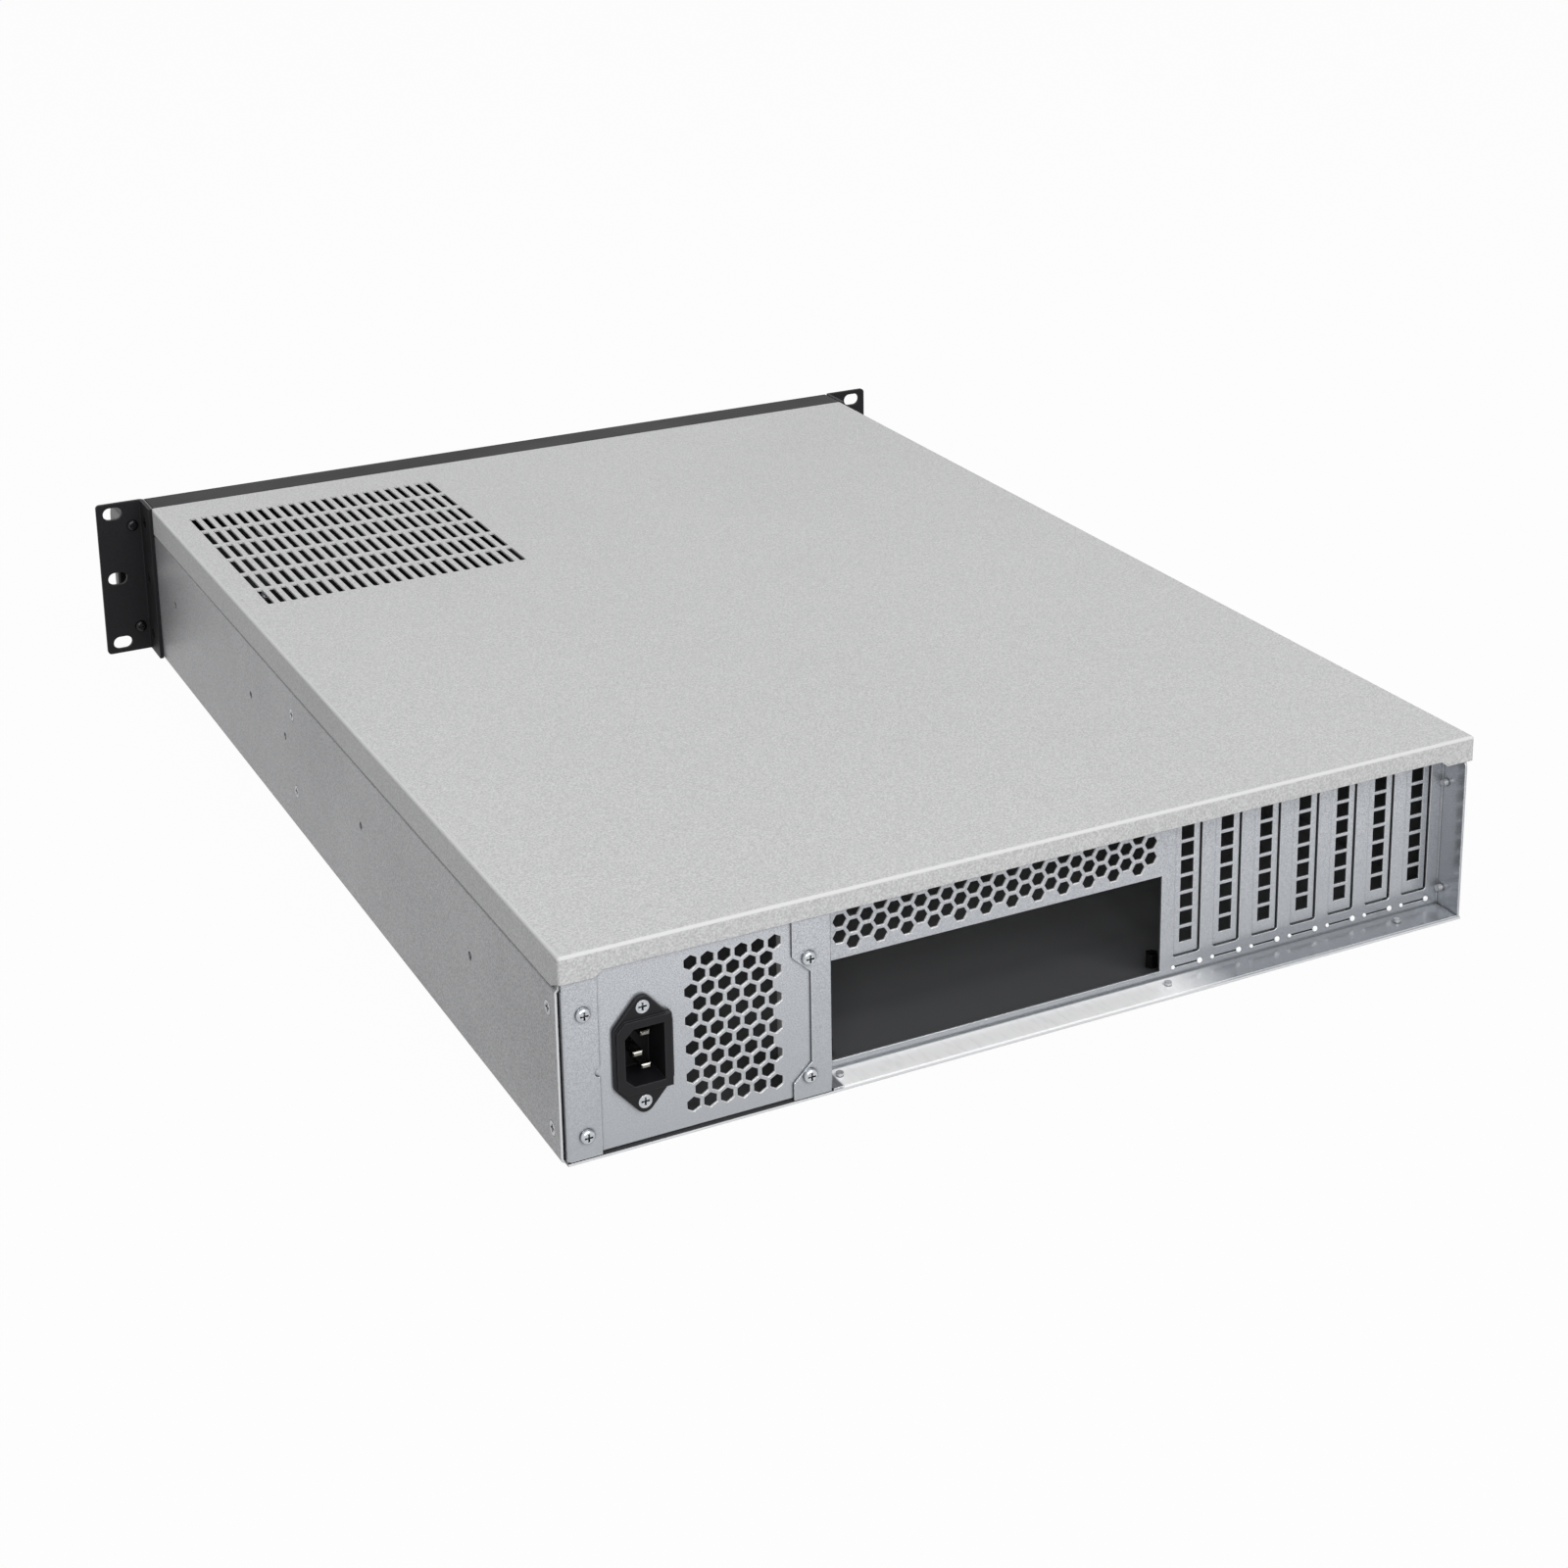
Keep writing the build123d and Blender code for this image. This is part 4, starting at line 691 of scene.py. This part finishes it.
@dataclass
class Housing(SubAssembly):
    """Base pan and top cover, which close the casing.

    Attributes:
        shear_reach_mm: Distance from the base's rear end within which its sheared edges take a painted highlight.
    """

    shear_reach_mm: float = 8.0

    def build(self) -> None:
        """Gives the two sheets their frosted zinc, painted dark as painted shade on the inside of the casing that
        they make.
        """
        base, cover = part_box("base_pan"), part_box("top_cover")
        lowest, highest = [tuple(pick(ends) for ends in zip(base[corner], cover[corner]))
                           for corner, pick in ((0, min), (1, max))]
        centre = tuple((low + high) / 2 for low, high in zip(lowest, highest))
        half = tuple((high - low) / 2 for low, high in zip(lowest, highest))
        sheared = Region(low=(-1.0, base[1][1] - self.shear_reach_mm * MM, -1.0))
        self.dress(replace(Palette.COVER_SHEET.value, centre=centre, half=half), "top_cover")
        self.dress(replace(Palette.BASE_SHEET.value, centre=centre, half=half, sheared=sheared), "base_pan")
        self.dress(Palette.COATED_SCREW, "rear_side_screws", "fan_wall_screws", "floor_screws")


@dataclass
class RearWall(SubAssembly):
    """Rear panel with its inlet plate, slot covers and screws.

    Attributes:
        slots: Number of slot covers.
        port_right_mm: Right end of the port opening, along X.
        port_left_mm: Left end of the port opening.
        port_top_mm: Top of the port opening, above which the vents are.
        foot_mm: Height of the foot that folds out under the port opening, with its sheet.
        foot_depth_mm: How far the foot stands out behind the recessed wall.
        foot_fade_mm: Distance over which the foot's painted reflection fades out past the port opening's right end.
        recess_mm: Depth of the recessed wall.
        dots_low_mm: Lowest corner of the embossed dots, from the wall's end, the recessed wall and the floor.
        dots_high_mm: Their highest corner, from the port opening, the recessed wall and the floor.
        dots_fade_mm: Distance over which their painted highlight fades out.
    """

    slots: int = 7
    port_right_mm: float = -63.2
    port_left_mm: float = 95.6
    port_top_mm: float = 49.7
    foot_mm: float = 2.4
    foot_depth_mm: float = 12.5
    foot_fade_mm: float = 30.0
    recess_mm: float = 14.5
    dots_low_mm: Point = (6.0, 0.2, 4.0)
    dots_high_mm: Point = (0.0, 1.2, 7.0)
    dots_fade_mm: float = 0.1

    def build(self) -> None:
        """Dresses the galvanised wall, its covers and the bright screws."""
        self.dress(self.rear_sheet(), "rear_panel")
        self.dress(Palette.PUNCHED_SHEET, "inlet_plate")
        self.dress(Palette.REAR_SHEET, *[f"slot_cover_{k + 1}" for k in range(self.slots)])
        self.dress(Palette.ZINC_SCREW, "inlet_plate_screws", "slot_cover_screws")

    def rear_sheet(self) -> Finish:
        """Places the painted highlight on the vent walls, the painted reflection on the foot and the painted
        highlight on the dots.

        Returns:
            The wall's finish.
        """
        low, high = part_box("rear_panel")
        right, left = self.port_right_mm * MM, self.port_left_mm * MM
        recess = high[1] - self.recess_mm * MM
        punched = Region(low=(right + MM, -1.0, self.port_top_mm * MM + MM), high=(left, 1.0, 1.0))
        foot = Region(low=(right, high[1] - self.foot_depth_mm * MM, -1.0),
                      high=(left, 1.0, low[2] + self.foot_mm * MM), fade_low=(self.foot_fade_mm * MM, MM, MM))
        corners = [tuple(start + away * MM for start, away in zip(origin, reach))
                   for origin, reach in (((low[0], recess, 0.0), self.dots_low_mm),
                                         ((right, recess, 0.0), self.dots_high_mm))]
        fade = (self.dots_fade_mm * MM,) * 3
        return replace(Palette.REFLECTION_SHEET.value, punched=punched, foot=foot,
                       dots=Region(*corners, fade_low=fade, fade_high=fade))


@dataclass
class PowerInlet(SubAssembly):
    """Moulded inlet with its pins and screws."""

    def build(self) -> None:
        """Dresses the housing, the blades and the screws."""
        self.dress(Palette.MOULDED_BLACK, "inlet_body")
        self.dress(Palette.NICKEL_PIN, "inlet_pins")
        self.dress(Palette.ZINC_SCREW, "inlet_screws")


@dataclass
class FrontEnd(SubAssembly):
    """Front panel, ears, handles and the small controls."""

    def build(self) -> None:
        """Dresses the black front and what sits in it."""
        self.dress(Palette.BLACK_COAT, "front_panel", "ear_left", "ear_right")
        self.dress(Palette.ANODISED, "handle_left", "handle_right")
        self.dress(Palette.BLACK_OXIDE, "ear_screws", "handle_screws")
        self.dress(Palette.MOULDED_BLACK, "power_button", "reset_button", "board_switches")
        self.dress(Palette.SOLDER_MASK, "control_board")
        self.dress(Palette.ZINC_SCREW, "board_screws", "board_spacers")
        self.dress(Palette.NICKEL_PIN, "front_sockets")
        self.dress(Palette.LAMP_LENS, "indicator_lamps")


@dataclass
class Cooling(SubAssembly):
    """Fan wall with its fans.

    Attributes:
        fans: Number of fans.
    """

    fans: int = 4

    def build(self) -> None:
        """Dresses the wall, the housings and the rotors."""
        self.dress(Palette.INNER_SHEET, "fan_wall")
        for part in ("frame", "rotor"):
            self.dress(Palette.FAN_BLACK, *[f"fan_{part}_{k + 1}" for k in range(self.fans)])
        self.dress(Palette.ZINC_SCREW, "fan_screws")


@dataclass
class Bays(SubAssembly):
    """Drive cages, power supply bracket and motherboard posts."""

    def build(self) -> None:
        """Dresses the folded cages and the blackened posts."""
        self.dress(Palette.INNER_SHEET, "drive_cage_1", "drive_cage_2", "supply_bracket")
        self.dress(Palette.BLACK_OXIDE, "standoffs")


@dataclass(frozen=True)
class Lamp:
    """One soft rectangular lamp.

    Attributes:
        name: Name of the lamp.
        place: Where it hangs, in metres.
        aim: Point that it is turned to.
        width: Width of its face.
        height: Height of its face.
        power: Power in watts.
    """

    name: str
    place: Point
    aim: Point
    width: float
    height: float
    power: float

    def build(self) -> None:
        """Hangs the lamp."""
        data = bpy.data.lights.new(self.name, "AREA")
        data.shape = "RECTANGLE"
        data.size, data.size_y, data.energy = self.width, self.height, self.power
        lamp = bpy.data.objects.new(self.name, data)
        lamp.location = self.place
        lamp.rotation_euler = (Vector(self.aim) - Vector(self.place)).to_track_quat("-Z", "Y").to_euler()
        bpy.context.collection.objects.link(lamp)


@dataclass(frozen=True)
class Studio:
    """White floor, white surroundings and soft lamps.

    Attributes:
        world_colour: Colour of the surroundings as the object is lit by them.
        world_level: Their strength on the object.
        lamps: The lamps.
        paper: Colour of the floor, on which the shadow falls.
        floor_half: Half the floor's side in metres.
        floor_drop: How far the floor lies under the case.
        floor_clear: Share of the floor's white that hides the shadow.
    """

    world_colour: str = "#f7f8fa"
    world_level: float = 0.35
    lamps: tuple[Lamp, ...] = (
        Lamp("overhead", (0.0, -0.5, 2.4), (0.0, 0.0, 0.05), 2.6, 2.6, 16.0),
        Lamp("high_behind_camera", (-0.8, 3.4, 3.2), (0.0, 0.1, 0.05), 2.4, 2.0, 92.0),
        Lamp("beside_camera", (1.4, 3.2, 1.9), (0.0, 0.2, 0.05), 1.6, 1.4, 60.0),
    )
    paper: str = "#a9a9a9"
    floor_half: float = 6.0
    floor_drop: float = 0.0004
    floor_clear: float = 0.97

    def build(self) -> None:
        """Makes the world, the floor and the lamps."""
        self.world()
        self.floor()
        for lamp in self.lamps:
            lamp.build()

    @staticmethod
    def seen(tree: Tree) -> Socket:
        """Tells rays from the camera, off gloss and through glass from the rest.

        Args:
            tree: Node tree of the world or the floor.

        Returns:
            Socket that gives 1 for them, and 0 for the rest.
        """
        rays = add_node(tree, "ShaderNodeLightPath").outputs
        return join(tree, "MAXIMUM", [rays[f"Is {kind} Ray"] for kind in ("Camera", "Glossy", "Transmission")])

    def world(self) -> None:
        """White surroundings that light the object at a plain level."""
        world = bpy.data.worlds.new("white_studio")
        bpy.context.scene.world = world
        world.use_nodes = True
        tree = world.node_tree
        tree.nodes.clear()
        plain = add_node(tree, "ShaderNodeBackground", {
            "Color": linear(self.world_colour), "Strength": self.world_level})
        white = add_node(tree, "ShaderNodeBackground", {"Color": linear("#ffffff"), "Strength": 1.0})
        mix = add_node(tree, "ShaderNodeMixShader", {0: self.seen(tree), 1: plain.outputs[0], 2: white.outputs[0]})
        add_node(tree, "ShaderNodeOutputWorld", {"Surface": mix.outputs[0]})

    def floor(self) -> None:
        """Pale floor that keeps a faint shadow."""
        mesh = bpy.data.meshes.new("studio_floor")
        form = bmesh.new()
        bmesh.ops.create_grid(form, x_segments=1, y_segments=1, size=self.floor_half)
        form.to_mesh(mesh)
        form.free()
        floor = bpy.data.objects.new("studio_floor", mesh)
        floor.location = (0.0, 0.0, -self.floor_drop)
        bpy.context.collection.objects.link(floor)
        material = bpy.data.materials.new("white_paper_floor")
        material.use_nodes = True
        tree = material.node_tree
        tree.nodes.clear()
        paper = add_node(tree, "ShaderNodeBsdfDiffuse", {"Color": linear(self.paper)})
        white = add_node(tree, "ShaderNodeEmission", {"Color": linear("#ffffff"), "Strength": 1.0})
        share = add_node(tree, "ShaderNodeMath", {0: self.seen(tree), 1: self.floor_clear}, operation="MULTIPLY")
        mix = add_node(tree, "ShaderNodeMixShader", {
            0: share.outputs[0], 1: paper.outputs[0], 2: white.outputs[0]})
        add_node(tree, "ShaderNodeOutputMaterial", {"Surface": mix.outputs[0]})
        mesh.materials.append(material)


@dataclass(frozen=True)
class PhotoCamera:
    """Camera at the photograph's place.

    Attributes:
        azimuth: Turn of the camera about the case, from the rear towards the inlet's side, in degrees.
        elevation: Height above the horizon, in degrees.
        distance: From the target, in metres.
        target: Point that the camera looks at.
        roll: Turn about the line of sight, in degrees.
        focal: Focal length in pixels of the photograph's frame.
        shift: Shift of the lens across and up, as shares of the frame.
        sensor_mm: Width of the sensor.
        clip: Nearest and furthest distance that it sees, in metres.
    """

    azimuth: float = 27.204
    elevation: float = 16.040
    distance: float = 1.36569
    target: Point = (-0.05574, 0.026, 0.19124)
    roll: float = -0.631
    focal: float = 2821.5
    shift: tuple[float, float] = (-0.03, -0.25)
    sensor_mm: float = 36.0
    clip: tuple[float, float] = (0.01, 50.0)

    def build(self) -> None:
        """Makes the camera and hands it to the scene."""
        data = bpy.data.cameras.new("photo_camera")
        data.sensor_width = self.sensor_mm
        data.lens = self.focal / FRAME_PIXELS * self.sensor_mm
        data.shift_x, data.shift_y = self.shift
        data.clip_start, data.clip_end = self.clip
        turn, rise = math.radians(self.azimuth), math.radians(self.elevation)
        back = Vector((math.sin(turn) * math.cos(rise), math.cos(turn) * math.cos(rise), math.sin(rise)))
        camera = bpy.data.objects.new("photo_camera", data)
        aim = (-back).to_track_quat("-Z", "Y").to_matrix().to_4x4()
        place = Vector(self.target) + back * self.distance
        camera.matrix_world = Matrix.Translation(place) @ aim @ Matrix.Rotation(math.radians(self.roll), 4, "Z")
        bpy.context.collection.objects.link(camera)
        bpy.context.scene.camera = camera


def main() -> None:
    """Loads the case, dresses its groups, and sets up the studio and the camera."""
    logging.basicConfig(level=logging.INFO, format="%(name)s %(message)s")
    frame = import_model()
    for group in (Housing, RearWall, PowerInlet, FrontEnd, Cooling, Bays):
        group(frame["nodes"]).build()
    Studio().build()
    PhotoCamera().build()
    bpy.context.scene.view_settings.view_transform = "Standard"


if __name__ == "__main__":
    main()
